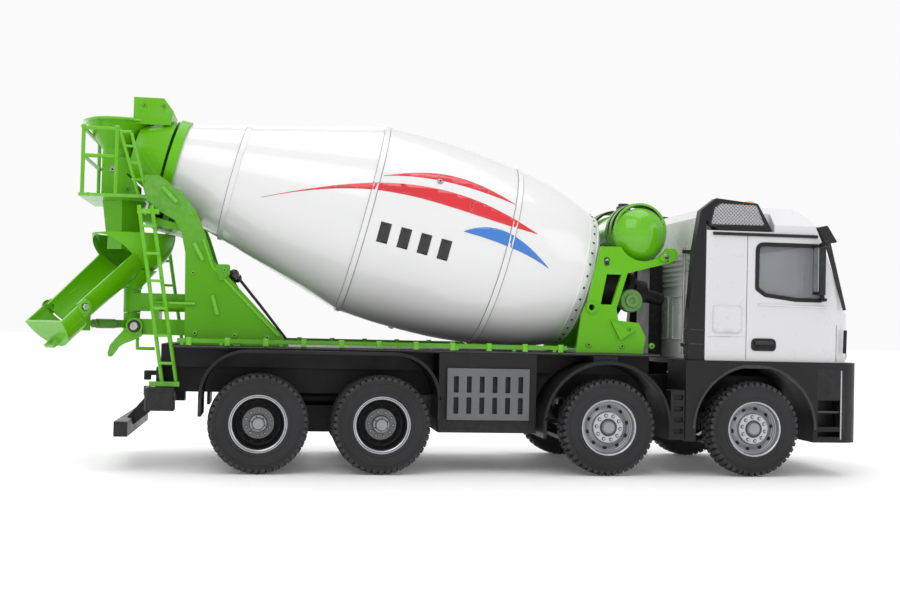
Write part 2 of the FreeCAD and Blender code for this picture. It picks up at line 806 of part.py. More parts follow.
def rear_frame():
    """Two side plates, the panels between them, the roller cradle and the deck rails."""
    base = deck_top + 2
    points = [(frame_foot_x, deck_top)]
    for dx, dz in FRAME_RISE + FRAME_FALL:
        points.append((frame_foot_x + dx, base + dz))
    pieces = []
    for low, high in sides(frame_in, frame_out):
        pieces.append(pad("XZ_Plane", points[:-1] + [(frame_foot_x + 63, deck_top)], low, high))
    pieces.append(
        box((frame_foot_x - 1, frame_foot_x + 63), (-frame_out, frame_out), (deck_top, base))
    )
    pieces.append(
        box((frame_foot_x, frame_foot_x + 3), (-frame_in - 1, frame_in + 1), (deck_top, base + 34))
    )
    for low, high in sides(frame_in - 8, frame_in + 1):
        pieces.append(box((frame_foot_x, frame_foot_x + 3), (low, high), (deck_top, base + 54)))
    cradle = box(
        (roller_along - 7, roller_along + 21.5),
        (-frame_in - 1, frame_in + 1),
        (roller_down - 12, roller_down - 8),
    )
    ears = []
    for along in (roller_along - 7, roller_along + DIM["roller_width"] / 2 + free):
        for side in (-1, 1):
            middle = roller_side * side
            ears.append(
                box(
                    (along, along + 3),
                    (middle - 4, middle + 4),
                    (roller_down - 9, roller_down + 3),
                )
            )
    bores = []
    for side in (-1, 1):
        radius = DIM["roller_pin_dia"] / 2 + gap
        bores.append(
            bar("x", roller_along - 9, roller_along + 9, radius, roller_side * side, roller_down)
        )
    pieces.append(on_axis(cut(fuse(cradle, *ears), *bores)))
    for low, high in sides(deck_out - 2, deck_out):
        rail_x = (DIM["deck_rear_x"], axle_two - 25)
        pieces.append(box(rail_x, (low, high), (deck_top + 1.5, deck_top + 4)))
        for dx in (3, 26, 62, 98, 134, 170, 206, 232):
            x = DIM["deck_rear_x"] + dx
            pieces.append(box((x - 1, x + 1), (low, high), (deck_top, deck_top + 2)))
    for low, high in sides(frame_out - 1, deck_out - 1):
        for dx in (0, 30, 58):
            x = frame_foot_x + dx
            pieces.append(box((x, x + 4), (low, high), (deck_top, base)))
    return fuse(*pieces)


def drum_roller(side):
    half = DIM["roller_width"] / 2
    middle = roller_side * side
    wheel = bar("x", roller_along - half, roller_along + half, DIM["roller_dia"] / 2, middle,
                roller_down)
    pin = bar("x", roller_along - 7, roller_along + 7, DIM["roller_pin_dia"] / 2, middle,
              roller_down)
    return on_axis(fuse(wheel, pin))


node("rear_frame", rear_frame())
node("drum_roller_right", drum_roller(-1))
node("drum_roller_left", drum_roller(1))


# ---------------------------------------------------------------- drum

mouth = DIM["drum_mouth_at"]
front_end = DIM["drum_front_at"]


def drum_profile(inset):
    """The drum's outer line from mouth to front, moved inwards by an inset."""
    return [
        (mouth, DIM["drum_mouth_dia"] / 2 - inset),
        (DIM["drum_neck_ring_at"], DIM["drum_neck_ring_dia"] / 2 - inset),
        (DIM["drum_rear_ring_at"], DIM["drum_rear_ring_dia"] / 2 - inset),
        (0, DIM["drum_dia"] / 2 - inset, -420),
        (DIM["drum_front_ring_at"], DIM["drum_front_ring_dia"] / 2 - inset, -330),
        (front_end - 7, DIM["drum_front_dia"] / 2 + 8 - inset, -160),
    ]


def drum_shell():
    """The drum with its three raised rings, hollow, open at the mouth."""
    wall = DIM["drum_wall"]
    outer = drum_profile(0) + [(front_end, DIM["drum_front_dia"] / 2, -11)]
    inner = drum_profile(wall)
    shell = turned(
        "XZ_Plane",
        outer
        + [(front_end, 12), (front_end - wall, 12)]
        + [(front_end - wall, DIM["drum_front_dia"] / 2 - wall)]
        + [(x, r) + tuple(-1 * b for b in bulge) for x, r, *bulge in reversed_arcs(inner)],
    )
    rings = []
    for at, dia in (
        (DIM["drum_neck_ring_at"], DIM["drum_neck_ring_dia"]),
        (DIM["drum_rear_ring_at"], DIM["drum_rear_ring_dia"]),
        (DIM["drum_front_ring_at"], DIM["drum_front_ring_dia"]),
    ):
        half = DIM["ring_width"] / 2
        rings.append(
            cut(
                bar("x", at - half, at + half, dia / 2 + DIM["ring_height"], 0, 0),
                bar("x", at - half - 1, at + half + 1, dia / 2 - wall + 0.4, 0, 0),
            )
        )
    return on_axis(fuse(shell, *rings))


def reversed_arcs(points):
    """The same line walked backwards: each arc's radius moves to its other end."""
    walked = []
    carry = ()
    for point in reversed(points):
        walked.append((point[0], point[1]) + carry)
        carry = tuple(point[2:])
    return walked


def drum_track_ring():
    half = DIM["track_ring_width"] / 2
    outer = DIM["track_ring_dia"] / 2
    at = roller_along
    neck = DIM["drum_mouth_dia"] / 2
    ring = bar("x", at - half, at + half, outer, 0, 0)
    bore = bar("x", at - half - 1, mouth, neck - DIM["drum_wall"], 0, 0)
    slope = (DIM["drum_neck_ring_dia"] / 2 - neck) / (DIM["drum_neck_ring_at"] - mouth)
    cone_end = at + half + 1
    seat_cone = bar("x", mouth, cone_end, neck, 0, 0, small_radius=neck + slope * (cone_end - mouth))
    return on_axis(cut(ring, bore, seat_cone))


def blade(phase):
    """One spiral mixing blade, a strip that stands inwards from the drum's wall."""
    stations = 36
    start, stop = mouth.value + 8, front_end.value - 26
    wall, depth = DIM["drum_wall"].value, DIM["blade_depth"].value
    half = DIM["blade_thickness"].value / 2
    line = [(p[0].value if isinstance(p[0], Size) else p[0], size(p[1]).value)
            for p in drum_profile(0)]
    sections = []
    for step in range(stations + 1):
        along = start + (stop - start) * step / stations
        angle = phase + 2 * pi * DIM["blade_turns"].value * step / stations
        radius = profile_radius(line, along) - wall - 0.2
        corners = []
        for x, r in (
            (along - half, radius),
            (along + half, radius),
            (along + half, radius - depth),
            (along - half, radius - depth),
        ):
            corners.append(V(x, r * cos(angle), r * sin(angle)))
        sections.append(Part.makePolygon(corners + corners[:1]))
    return Part.makeLoft(sections, True, True)


def profile_radius(line, along):
    for (x0, r0), (x1, r1) in zip(line, line[1:]):
        if along <= x1:
            return r0 + (r1 - r0) * (along - x0) / (x1 - x0)
    return line[-1][1]


def drum_blades():
    """Two blades half a turn apart and the spokes that tie them at the drum's waist."""
    blades = doc.addObject("Part::Feature", "blades")
    blades.Shape = Part.makeCompound([blade(0), blade(pi)])
    return on_axis(blades)


def drum_shaft():
    """The flanged shaft that closes the drum's front and runs into the gearbox."""
    radius = DIM["drum_shaft_dia"] / 2
    wall = DIM["drum_wall"]
    flange = bar("x", front_end, front_end + 2, 17, 0, 0)
    spigot = bar("x", front_end - wall, front_end, 12, 0, 0)
    shaft = bar("x", front_end, front_end + 14, radius, 0, 0)
    return on_axis(fuse(flange, spigot, shaft))


node("drum_shell", drum_shell())
node("drum_track_ring", drum_track_ring())
node("drum_blades", drum_blades())
node("drum_shaft", drum_shaft())


# ---------------------------------------------------------------- drum drive and tank

gearbox_at = front_end + 5
gearbox_end = gearbox_at + DIM["gearbox_length"]


def gearbox_bar(grow=0):
    radius = DIM["gearbox_dia"] / 2 + grow
    return on_axis(bar_on_axis(gearbox_at - 1, gearbox_end + 1, radius))


def bar_on_axis(start, stop, radius):
    """A bar that is placed as a whole, so that it can be put on the drum's axis."""
    return fuse(bar("x", start, (size(start) + stop) / 2, radius, 0, 0),
                bar("x", (size(start) + stop) / 2 - 0.5, stop, radius, 0, 0))


def drum_gearbox():
    """A hollow housing round the shaft's end, with the pump and its pipe stub."""
    wall = DIM["gearbox_wall"]
    radius = DIM["gearbox_dia"] / 2
    body = bar("x", gearbox_at, gearbox_end, radius, 0, 0)
    ribs = []
    for at in (gearbox_at + 6, gearbox_at + 12, gearbox_at + 18):
        ribs.append(bar("x", at, at + 2, radius, 0, 0))
    pump = bar("x", gearbox_end - 1, gearbox_end + 13, 8, -10, 3)
    pump_flange = bar("x", gearbox_end - 1, gearbox_end + 3, 11, -10, 3)
    pipe = bar("x", gearbox_end + 5, gearbox_end + 24, 4.5, -19, 1)
    elbow = box((gearbox_end + 4, gearbox_end + 12), (-23, -10), (-4, 6))
    inside = bar("x", gearbox_at + wall, gearbox_end - wall, radius - wall, 0, 0)
    bore = bar("x", gearbox_at - 1, gearbox_at + wall + 1, DIM["drum_shaft_dia"] / 2 + gap, 0, 0)
    return on_axis(cut(fuse(body, *ribs, pump_flange, pump, pipe, elbow), inside, bore))


def drum_motor():
    """The electric motor inside the housing, held by its front plate."""
    wall = DIM["gearbox_wall"]
    plate_disc = bar("x", gearbox_end - wall - 2, gearbox_end - wall, DIM["gearbox_dia"] / 2 - wall,
                     0, 0)
    can = bar("x", gearbox_at + wall + 9, gearbox_end - wall - 1, 9, 0, 0)
    pinion = bar("x", gearbox_at + wall + 7.5, gearbox_at + wall + 10, 2, 0, 0)
    return on_axis(fuse(plate_disc, can, pinion))


pedestal_out = DIM["pedestal_width"] / 2
pedestal_in = pedestal_out - plate
pedestal_x = DIM["tank_x"] - 43.4
PEDESTAL_OUTLINE = (
    (0, 0),
    (3.4, 23.4),
    (7, 30.5),
    (11, 50),
    (15.1, 66.3),
    (25.6, 66.3),
    (64.5, 66.3),
    (66.5, 63),
    (64.5, 58.5),
    (60.5, 56.7),
    (33, 49.5),
    (26, 26.5),
    (27.5, 19),
    (41, 17.6),
    (45.7, 8.5),
    (44.4, 0),
)
PEDESTAL_WINDOW = ((15.5, 29), (19.2, 48.5), (29, 48.5), (23, 29))


def pedestal_points(outline_points):
    return [(pedestal_x + dx, deck_top + 2 + dz) for dx, dz in outline_points]


def front_pedestal():
    """The green stand under the drum's front bearing, with the water tank's cradle."""
    base = deck_top + 2
    points = pedestal_points(PEDESTAL_OUTLINE)
    pieces = []
    for low, high in sides(pedestal_in, pedestal_out):
        side_plate = pad("XZ_Plane", points, low, high)
        window = pad("XZ_Plane", pedestal_points(PEDESTAL_WINDOW), low - 1, high + 1)
        pieces.append(cut(side_plate, window))
    pieces.append(
        box((pedestal_x, pedestal_x + 44.4), (-pedestal_out, pedestal_out), (deck_top, base + 0.5))
    )
    for dx in (27, 38):
        x = pedestal_x + dx
        pieces.append(
            box((x, x + 3), (-pedestal_in - 1, pedestal_in + 1), (deck_top, base + 17.5))
        )
    pieces.append(
        box(
            (pedestal_x + 36, pedestal_x + 39),
            (-pedestal_in - 1, pedestal_in + 1),
            (base + 51, base + 62),
        )
    )
    for low, high in sides(pedestal_out - 0.5, pedestal_out + 2):
        gusset = pad(
            "XZ_Plane",
            pedestal_points(((22, 19), (38.6, 13), (28.4, 6.4))),
            low,
            high,
        )
        hole = bar("y", low - 1, high + 1, 1.5, pedestal_x + 34, base + 13.6)
        pieces.append(cut(gusset, hole))
    for low, high in sides(pedestal_out - 0.5, pedestal_out + 1.5):
        for dx, dz, radius in ((9.4, 27, 3.6), (35.6, 57.2, 0), (56.8, 61, 3.4)):
            if radius:
                pieces.append(bar("y", low, high, radius, pedestal_x + dx, base + dz))
    holes = []
    for dx, dz in ((9.4, 27), (19, 57.5), (58.5, 61)):
        holes.append(
            bar("y", -pedestal_out - 3, pedestal_out + 3, 2, pedestal_x + dx, base + dz)
        )
    tank = bar("y", -pedestal_out - 4, pedestal_out + 4, DIM["tank_dia"] / 2, DIM["tank_x"],
               DIM["tank_z"])
    return cut(fuse(*pieces), *holes, tank, gearbox_bar())


def water_tank():
    half = DIM["tank_length"] / 2
    dome = DIM["tank_dome"]
    radius = DIM["tank_dia"] / 2
    crown = (radius * radius + dome * dome) / (dome * 2)
    wall = 1.5
    outside = turned(
        "YZ_Plane",
        [
            (-half, 0),
            (dome - half, radius, -crown),
            (half - dome, radius),
            (half, 0, -crown),
        ],
    )
    put(outside, DIM["tank_x"], 0, DIM["tank_z"])
    inside = bar("y", dome - half, half - dome, radius - wall, DIM["tank_x"], DIM["tank_z"])
    filler = bar("z", DIM["tank_z"] + radius - 1, DIM["tank_z"] + radius + 3, 4, DIM["tank_x"], 0)
    throat = bar("z", DIM["tank_z"], DIM["tank_z"] + radius + 1, 2.5, DIM["tank_x"], 0)
    return cut(fuse(outside, filler), inside, throat)


node("drum_gearbox", drum_gearbox())
node("drum_motor", drum_motor())
node("front_pedestal", front_pedestal())
node("water_tank", water_tank())


# ---------------------------------------------------------------- mouth, hopper, platform

shroud_at = roller_along - DIM["track_ring_width"] / 2 - 2
shroud_end = shroud_at - DIM["shroud_length"]
shroud_front = DIM["drum_mouth_dia"] / 2 + 0.5
shroud_rear = DIM["shroud_rear_dia"] / 2
wall_thin = DIM["shroud_wall"]
hopper_x = DIM["hopper_x"]
hopper_rim = DIM["hopper_rim_z"]
hopper_low = hopper_rim - DIM["hopper_depth"]
platform_z = DIM["platform_z"]
platform_rear = DIM["platform_rear_x"]
platform_front = frame_foot_x - 20.5
platform_out = DIM["platform_width"] / 2
neck_top = hopper_low - 6


def shroud_cone(grow):
    """The shroud's outer cone on the drum's axis, made larger by an amount."""
    cone = fuse(
        bar("x", shroud_end, shroud_at, shroud_rear + grow, 0, 0, small_radius=shroud_front + grow),
        bar("x", shroud_end, shroud_end + 1, shroud_rear + grow, 0, 0),
    )
    return on_axis(cone)


def hopper_cone(grow):
    """The hopper's outer cone and neck, made larger by an amount."""
    neck = DIM["hopper_neck_dia"] / 2 + wall_thin + grow
    rim = DIM["hopper_rim_dia"] / 2 + grow
    return fuse(
        bar("z", hopper_low, hopper_rim, neck, hopper_x, 0, small_radius=rim),
        bar("z", neck_top, hopper_low + 1, neck, hopper_x, 0),
    )


def mouth_shroud():
    ears = []
    for low, high in sides(14, frame_in):
        ears.append(
            box((platform_front - 4, platform_front), (low, high), (platform_z + 4, platform_z + 11))
        )
    drop = box((hopper_x - 12, hopper_x + 24), (-14, 14), (platform_z - 1, DIM["hopper_rim_z"] - 26))
    charge = box((hopper_x + 8, hopper_x + 30), (-11, 11), (hopper_low, hopper_rim + 6))
    return cut(fuse(shroud_cone(0), *ears), shroud_cone(-wall_thin), hopper_cone(0.3), drop, charge)


def hopper():
    """The charging cone and the square inlet in front of it."""
    inlet_top = DIM["inlet_top_z"]
    half = 17
    outside = pad(
        "XZ_Plane",
        [
            (hopper_x + 10, hopper_rim - 3),
            (hopper_x + 10, inlet_top),
            (hopper_x + 28.6, inlet_top),
            (hopper_x + 34.6, inlet_top - 8),
            (hopper_x + 33, hopper_rim - 3),
        ],
        -half,
        half,
    )
    inside = box(
        (hopper_x + 11.5, hopper_x + 28), (1.5 - half, half - 1.5), (hopper_rim - 4, inlet_top + 1)
    )
    cone_inside = fuse(
        bar("z", hopper_low, hopper_rim + 0.1, DIM["hopper_neck_dia"] / 2, hopper_x, 0,
            small_radius=DIM["hopper_rim_dia"] / 2 - wall_thin),
        bar("z", neck_top - 1, hopper_low + 1, DIM["hopper_neck_dia"] / 2, hopper_x, 0),
    )
    inlet = cut(outside, inside, shroud_cone(0.3))
    return cut(fuse(hopper_cone(0), inlet), cone_inside)


def hexagon(start, stop, start_dia, stop_dia):
    """A six-sided taper with a corner towards each side of the truck."""
    body = doc.addObject("PartDesign::Body", "hexagon")
    outlines = []
    for height, dia in ((start, start_dia), (stop, stop_dia)):
        corner, flat = size(dia) / 2, size(dia) * 0.4330127
        x = DIM["spout_x"]
        outlines.append(
            outline(
                body,
                "XY_Plane",
                [
                    (x, -corner),
                    (x + flat, corner * -0.5),
                    (x + flat, corner * 0.5),
                    (x, corner),
                    (x - flat, corner * 0.5),
                    (x - flat, corner * -0.5),
                ],
                height,
            )
        )
    loft = body.newObject("PartDesign::AdditiveLoft", "loft")
    loft.Profile = outlines[0]
    loft.Sections = [outlines[1]]
    loft.Ruled = True
    return body


def discharge_spout():
    """A housing behind the mouth that drops into a six-sided tube."""
    top, bottom = DIM["spout_top_dia"], DIM["spout_bottom_dia"]
    low = DIM["spout_bottom_z"]
    collar_top = low + 10
    x = DIM["spout_x"]
    thick = wall_thin * 2
    housing = box((x - 13, x + 9), (-13, 13), (platform_z, neck_top))
    outside = fuse(
        housing,
        hexagon(collar_top, platform_z, bottom, top),
        hexagon(low, collar_top, bottom - 2.2, bottom - 2.2),
    )
    hollow = box(
        (x - 13 + wall_thin, x + 10), (wall_thin - 13, 13 - wall_thin), (platform_z - 0.1, neck_top - 1.5)
    )
    tube = hexagon(collar_top, platform_z, bottom - thick - 2.2, top - thick)
    lower_tube = hexagon(low - 1, collar_top + 0.1, bottom - thick - 2.2, bottom - thick - 2.2)
    fill = bar("z", neck_top - 3, neck_top + 1, DIM["hopper_neck_dia"] / 2, hopper_x, 0)
    shroud_room = on_axis(
        fuse(
            bar("x", shroud_end - 0.3, shroud_at, shroud_rear + 0.3, 0, 0,
                small_radius=shroud_front + 0.3),
            bar("x", shroud_end - 0.3, shroud_end + 1, shroud_rear + 0.3, 0, 0),
        )
    )
    return cut(outside, hollow, tube, lower_tube, fill, shroud_room)


def service_platform():
    """The platform with its railing and the short upper ladder on each side."""
    sheet_low = platform_z - DIM["platform_sheet"]
    tube = DIM["rail_tube_dia"] / 2
    deck = box((platform_rear, platform_front), (-platform_out, platform_out), (sheet_low, platform_z))
    pieces = [deck]
    for low, high in sides(platform_out - 1, frame_in):
        pieces.append(box((platform_front - 5, platform_front), (low, high), (sheet_low - 3, platform_z)))
    top = platform_z + DIM["railing_height"]
    middle = top - 17
    post_x = (platform_rear + 2, platform_rear + 22)
    for y in (tube - platform_out, platform_out - tube):
        for x in post_x:
            pieces.append(bar("z", sheet_low, top, tube, x, y))
        for height in (middle, top):
            pieces.append(bar("x", post_x[0], post_x[1], tube, y, height))
            pieces.append(ball(tube, post_x[0], y, height))
        foot, head = (platform_front - 10, platform_z - 1), (platform_front - 22.5, top)
        other_foot, other_head = (platform_front - 5, platform_z - 1), (platform_front - 15.5, top - 2)
        pieces.append(slant(foot, head, tube * 0.8, y))
        pieces.append(slant(other_foot, other_head, tube * 0.8, y))
        for share in (0.25, 0.5, 0.75):
            x = foot[0] * (1 - share) + head[0] * share
            height = foot[1] * (1 - share) + head[1] * share
            pieces.append(bar("x", x, x + 6.5, tube * 0.7, y, height))
        pieces.append(bar("x", head[0], other_head[0], tube * 0.8, y, top - 1.5))
    for height in (middle, top):
        pieces.append(bar("y", -platform_out + tube, platform_out - tube, tube, post_x[0], height))
    opening = hexagon(
        sheet_low - 1, platform_z + 1, DIM["spout_top_dia"] + 0.6, DIM["spout_top_dia"] + 0.6
    )
    roller_room = box(
        (platform_front - 7.5, platform_front + 1),
        (9 - frame_in, frame_in - 9),
        (sheet_low - 1, platform_z + 1),
    )
    return cut(fuse(*pieces), opening, roller_room)


def ladders():
    """A ladder outside each side plate of the rear frame."""
    tube = DIM["rail_tube_dia"] / 2
    made = []
    low_z, high_z = rail_top - 9, platform_z - 7.5
    for side in (-1, 1):
        y = (frame_out + 3.5) * side
        near = ((frame_foot_x - 12.5, low_z), (frame_foot_x - 29, high_z))
        far = ((frame_foot_x - 4, low_z), (frame_foot_x - 21.5, high_z))
        pieces = [slant(*near, tube, y), slant(*far, tube, y)]
        low, high = (y - 3, y + 1) if side < 0 else (y - 1, y + 3)
        for level in range(6):
            share = 0.1 + level * 0.155
            x = near[0][0] * (1 - share) + near[1][0] * share
            height = low_z * (1 - share) + high_z * share
            pieces.append(box((x, x + 8.2), (low, high), (height, height + 1.6)))
        pieces.append(box((frame_foot_x - 20, frame_foot_x - 2), (low, high), (low_z - 2.5, low_z + 0.3)))
        inner, outer = sides(frame_out, frame_out + 4)[0 if side < 0 else 1]
        pieces.append(
            box((frame_foot_x - 30, frame_foot_x - 17), (inner, outer), (high_z - 5, high_z - 2))
        )
        made.append(fuse(*pieces))
    return group(*made)


node("mouth_shroud", mouth_shroud())
node("hopper", hopper())
node("discharge_spout", discharge_spout())
node("service_platform", service_platform())
node("ladders", ladders())


# ---------------------------------------------------------------- chute

chute_x = DIM["chute_x"]
chute_rim = DIM["chute_rim_z"]
bowl = DIM["chute_bowl_dia"] / 2
chute_wall = DIM["chute_wall"]
trough_end = DIM["chute_end_dia"] / 2
trough = DIM["chute_length"]
slope = DIM["chute_slope"]
post = DIM["chute_post_dia"] / 2
post_top = chute_rim - bowl - 9
post_low = post_top - 15
beam_low = post_low - 14
lever_x = chute_x + 3.4
lever_z = beam_low + 5.3
hinge_at = 1.5 - trough
flap_in = trough_end + free + 1
flap_out = flap_in + 1.5
arm_out = post + 9


def swung(thing):
    """Turn a piece made along -X about the spindle to where the chute rests."""
    return put(thing, chute_x, 0, 0, (0, 0, 1), DIM["chute_swing"])


def sloped(thing):
    """Lay a piece made along -X about the origin onto the trough's slope."""
    return put(thing, 0, 0, chute_rim - 1.7, (0, 1, 0), -slope)


def trough_bar(grow, start, stop):
    """The trough's taper between two stations along it."""
    rate = (bowl - 6 - trough_end) / trough
    first = trough_end + grow + rate * (size(start) + trough)
    last = trough_end + grow + rate * (size(stop) + trough)
    return bar("x", start, stop, first, 0, 0, small_radius=last)


def chute():
    """A bowl under the spout that runs into a tapering trough."""
    reach = bowl + 2
    half_shell = cut(
        trough_bar(0, -trough, 0),
        box((-trough - 1, 1), (-reach, reach), (0, reach)),
    )
    pin = DIM["running_gap"] + 1.6
    hinge_holes = bar("y", -reach, reach, pin, hinge_at, -3)
    bowl_shell = cut(
        ball(bowl, 0, 0, chute_rim),
        box((-reach, reach), (-reach, reach), (chute_rim, chute_rim + reach)),
    )
    neck = bar("z", post_top + 1.5, chute_rim - bowl + 3, 6, 0, 0, small_radius=15)
    lug = box((-36, -32), (-2.2, 2.2), (beam_low + 2, beam_low + 12))
    solid = fuse(bowl_shell, sloped(half_shell), neck, lug)
    return swung(
        cut(
            solid,
            ball(bowl - chute_wall, 0, 0, chute_rim),
            sloped(fuse(trough_bar(-chute_wall, -trough - 1, -12), trough_bar(-chute_wall, -14, -6))),
            sloped(cut(hinge_holes, trough_bar(-chute_wall - 2, -trough - 2, 0))),
        )
    )


def chute_swivel():
    """The spindle that turns in the bearing, with its collar and the lower tab."""
    spindle = bar("z", beam_low + 2, post_top + 1.5, post, 0, 0)
    collar = bar("z", post_top, post_top + 1.5, post + 3, 0, 0)
    tab = bar("z", beam_low + 2, post_low - 0.2, post + 2.2, 0, 0)
    fork = box((-9, 0), (-2.5, 2.5), (beam_low + 4, beam_low + 9))
    return swung(fuse(spindle, collar, tab, fork))


def chute_strut():
    """A turnbuckle from the swivel's tab to the lug under the trough."""
    height = beam_low + 6.5
    rod = bar("x", -32, -9, 1.7, 0, height)
    barrel = bar("x", -26, -13, 3, 0, height)
    nuts = [bar("x", at, at + 1.5, 2.6, 0, height) for at in (-29, -11.5)]
    return swung(fuse(rod, barrel, *nuts))


def chute_flap():
    """The folding scoop: a half shell with a closed end, hung on two pins."""
    end = hinge_at - DIM["flap_length"]
    start = -trough - free
    reach = flap_out + 1
    shell = cut(
        bar("x", end, start, flap_out, 0, 0),
        bar("x", end + 1.5, start + 1, flap_in, 0, 0),
    )
    ears = []
    pins = []
    for low, high in sides(flap_in, flap_out):
        ears.append(bar("y", low, high, 5, hinge_at, -3))
        ears.append(box((start - 2, hinge_at), (low, high), (-8, 0)))
        pins.append(bar("y", low - 2, high + 1, 1.6, hinge_at, -3))
    bosses = [bar("y", low, high + 0.8, 2.8, hinge_at, -3) for low, high in sides(flap_in, flap_out)]
    half = cut(fuse(shell, *ears), box((end - 1, 1), (-reach, reach), (0, reach)))
    trough_room = trough_bar(0.3, -trough - free, -trough + 14)
    scoop = cut(half, trough_room)
    handle = cut(
        box((end - 6, end + 0.5), (-5, 5), (-flap_out + 4, -flap_out + 6)),
        box((end - 4, end - 1), (-3, 3), (-flap_out + 3, -flap_out + 7)),
    )
    return swung(group(sloped(fuse(scoop, *pins, *bosses, handle))))


def chute_bracket():
    """The spindle's bearing, its beam and the two lower arms, fixed to the rear frame."""
    panel = frame_foot_x
    bearing_out = post + DIM["post_wall"]
    pieces = [
        bar("z", post_low, post_top - 0.2, bearing_out, chute_x, 0),
        box((chute_x, panel), (-6, 6), (post_low + 1, post_top - 2.5)),
        bar("x", chute_x + 15, panel, 3.3, -9, post_low + 4.8),
        bar("x", chute_x + 15, panel, 3.3, 9, post_low + 4.8),
    ]
    for low, high in sides(arm_out - 3, arm_out):
        pieces.append(box((chute_x - 1.5, panel), (low, high), (beam_low, beam_low + 10)))
    pieces.append(
        box((chute_x + 14, chute_x + 18), (-arm_out, arm_out), (beam_low, post_low + 3))
    )
    return cut(
        fuse(*pieces),
        bar("z", post_low - 1, post_top + 1, post + gap, chute_x, 0),
        bar("y", -arm_out - 1, 1 - arm_out + 3, 1.6 + gap, lever_x, lever_z),
    )


LEVER = (
    (5, 0.5),
    (-2, 5),
    (-5.2, -1),
    (-9, -5.4),
    (-11.7, -8.4),
    (-14.6, -12.2),
    (-15.9, -16.8),
    (-15.6, -19.4),
    (-13.3, -19.4),
    (-10.9, -16.3),
    (-9.2, -13.4),
    (-6.3, -11.4),
    (-1.2, -9.3),
    (4.6, -6.3),
)


def hook_lever():
    points = [(lever_x + dx, lever_z + dz) for dx, dz in LEVER]
    far, near = -arm_out - 4, -arm_out - free
    blade_plate = pad("XZ_Plane", points, far, near)
    boss = bar("y", far - 0.8, near, 5.2, lever_x, lever_z)
    pin = bar("y", near, 3.5 - arm_out, 1.6, lever_x, lever_z)
    middle = far / 2 + near / 2
    crank_z = lever_z - 14
    crank = bar("z", crank_z, lever_z - 6, 1, lever_x + 2, middle)
    handle = bar("x", lever_x + 2, lever_x + 12.8, 1, middle, crank_z)
    return fuse(blade_plate, boss, pin, crank, handle, ball(1, lever_x + 2, middle, crank_z))


node("chute_bracket", chute_bracket())
node("chute", chute())
node("chute_swivel", chute_swivel())
node("chute_strut", chute_strut())
node("chute_flap", chute_flap())
node("hook_lever", hook_lever())


# ---------------------------------------------------------------- cab

cab_rear = DIM["cab_rear_x"]
cab_front = DIM["cab_front_x"]
cab_out = DIM["cab_width"] / 2
cab_floor = DIM["cab_floor"]
cab_roof = DIM["cab_roof"]
sill = DIM["window_sill"]
head = DIM["window_head"]


def cab_volume(inset, below=0):
    """The cab's solid volume, its walls moved inwards by an inset."""
    inset = size(inset)
    corner = DIM["cab_corner"] - inset
    low = cab_floor - below
    side = pad(
        "XZ_Plane",
        [
            (cab_rear + inset, low),
            (cab_front - inset, low),
            (cab_front - inset, sill - 10),
            (cab_front - 8 - inset, sill - 6),
            (cab_front - 24 - inset, head + 1),
            (cab_front - 32 - inset, cab_roof - 6 - inset),
            (cab_front - 40 - inset, cab_roof - inset),
            (cab_rear + 8 + inset, cab_roof - inset),
            (cab_rear + inset, cab_roof - 7 - inset),
        ],
        -cab_out,
        cab_out,
    )
    half = cab_out - inset
    plan = pad(
        "XY_Plane",
        [
            (cab_rear + inset, -half),
            (cab_front - 20, -half),
            (cab_front - inset - 1.5, corner - half, 20 - inset),
            (cab_front - inset + 4, 0),
            (cab_front - inset - 1.5, half - corner),
            (cab_front - 20, half, 20 - inset),
            (cab_rear + inset, half),
        ],
        low,
        cab_roof,
    )
    shoulder = pad(
        "YZ_Plane",
        [
            (-half, low),
            (half, low),
            (half, cab_roof - 12 - inset),
            (half - 12, cab_roof - inset),
            (12 - half, cab_roof - inset),
            (-half, cab_roof - 12 - inset),
        ],
        cab_rear - 1,
        cab_front + 8,
    )
    return common(common(side, plan), shoulder)


window_x = (cab_rear + 34, cab_rear + 78)
duct_room_x = (cab_rear - 1, cab_rear + 45)
duct_room_z = (cab_roof - 16.5, cab_roof + 6)
duct_in = cab_out - 8


def cab_shell():
    """The white cab, hollow and open below."""
    corner = 5
    cutters = [cab_volume(DIM["cab_wall"], 1)]
    cutters.append(tunnel(window_x, (sill, head), corner, (-cab_out - 1, cab_out + 1)))
    cutters.append(box((window_x[0], window_x[1]), (-cab_out - 1, cab_out + 1), (sill, sill + 8)))
    cutters.append(
        pad(
            "XZ_Plane",
            [
                (cab_front - 16, sill - 4),
                (cab_front + 6, sill - 4),
                (cab_front - 12, head + 0.5),
                (cab_front - 32, head + 0.5),
            ],
            12 - cab_out,
            cab_out - 12,
        )
    )
    for y in sides(duct_in, cab_out + 1):
        cutters.append(box(duct_room_x, y, duct_room_z))
    shell = cut(cab_volume(0), *cutters)
    closers = []
    for low, high in sides(duct_in - 2, duct_in):
        closers.append(box((cab_rear, duct_room_x[1] + 2), (low, high), (duct_room_z[0] - 2, cab_roof - 4)))
    for low, high in sides(duct_in - 2, cab_out):
        closers.append(
            box((cab_rear, duct_room_x[1] + 2), (low, high), (duct_room_z[0] - 2, duct_room_z[0]))
        )
        closers.append(
            box((duct_room_x[1], duct_room_x[1] + 2), (low, high - 3 if high.value > 0 else high),
                (duct_room_z[0] - 1, cab_roof - 8))
        )
    return common(fuse(shell, *closers), cab_volume(0))


def cab_windows():
    """One clear moulding: both side panes and the windscreen."""
    inner = DIM["cab_wall"]
    band = cut(cab_volume(inner), cab_volume(inner + DIM["glass_thickness"]))
    zone = box((window_x[0] - 3, cab_front + 8), (-cab_out, cab_out), (sill - 7, head + 3))
    return common(band, zone)


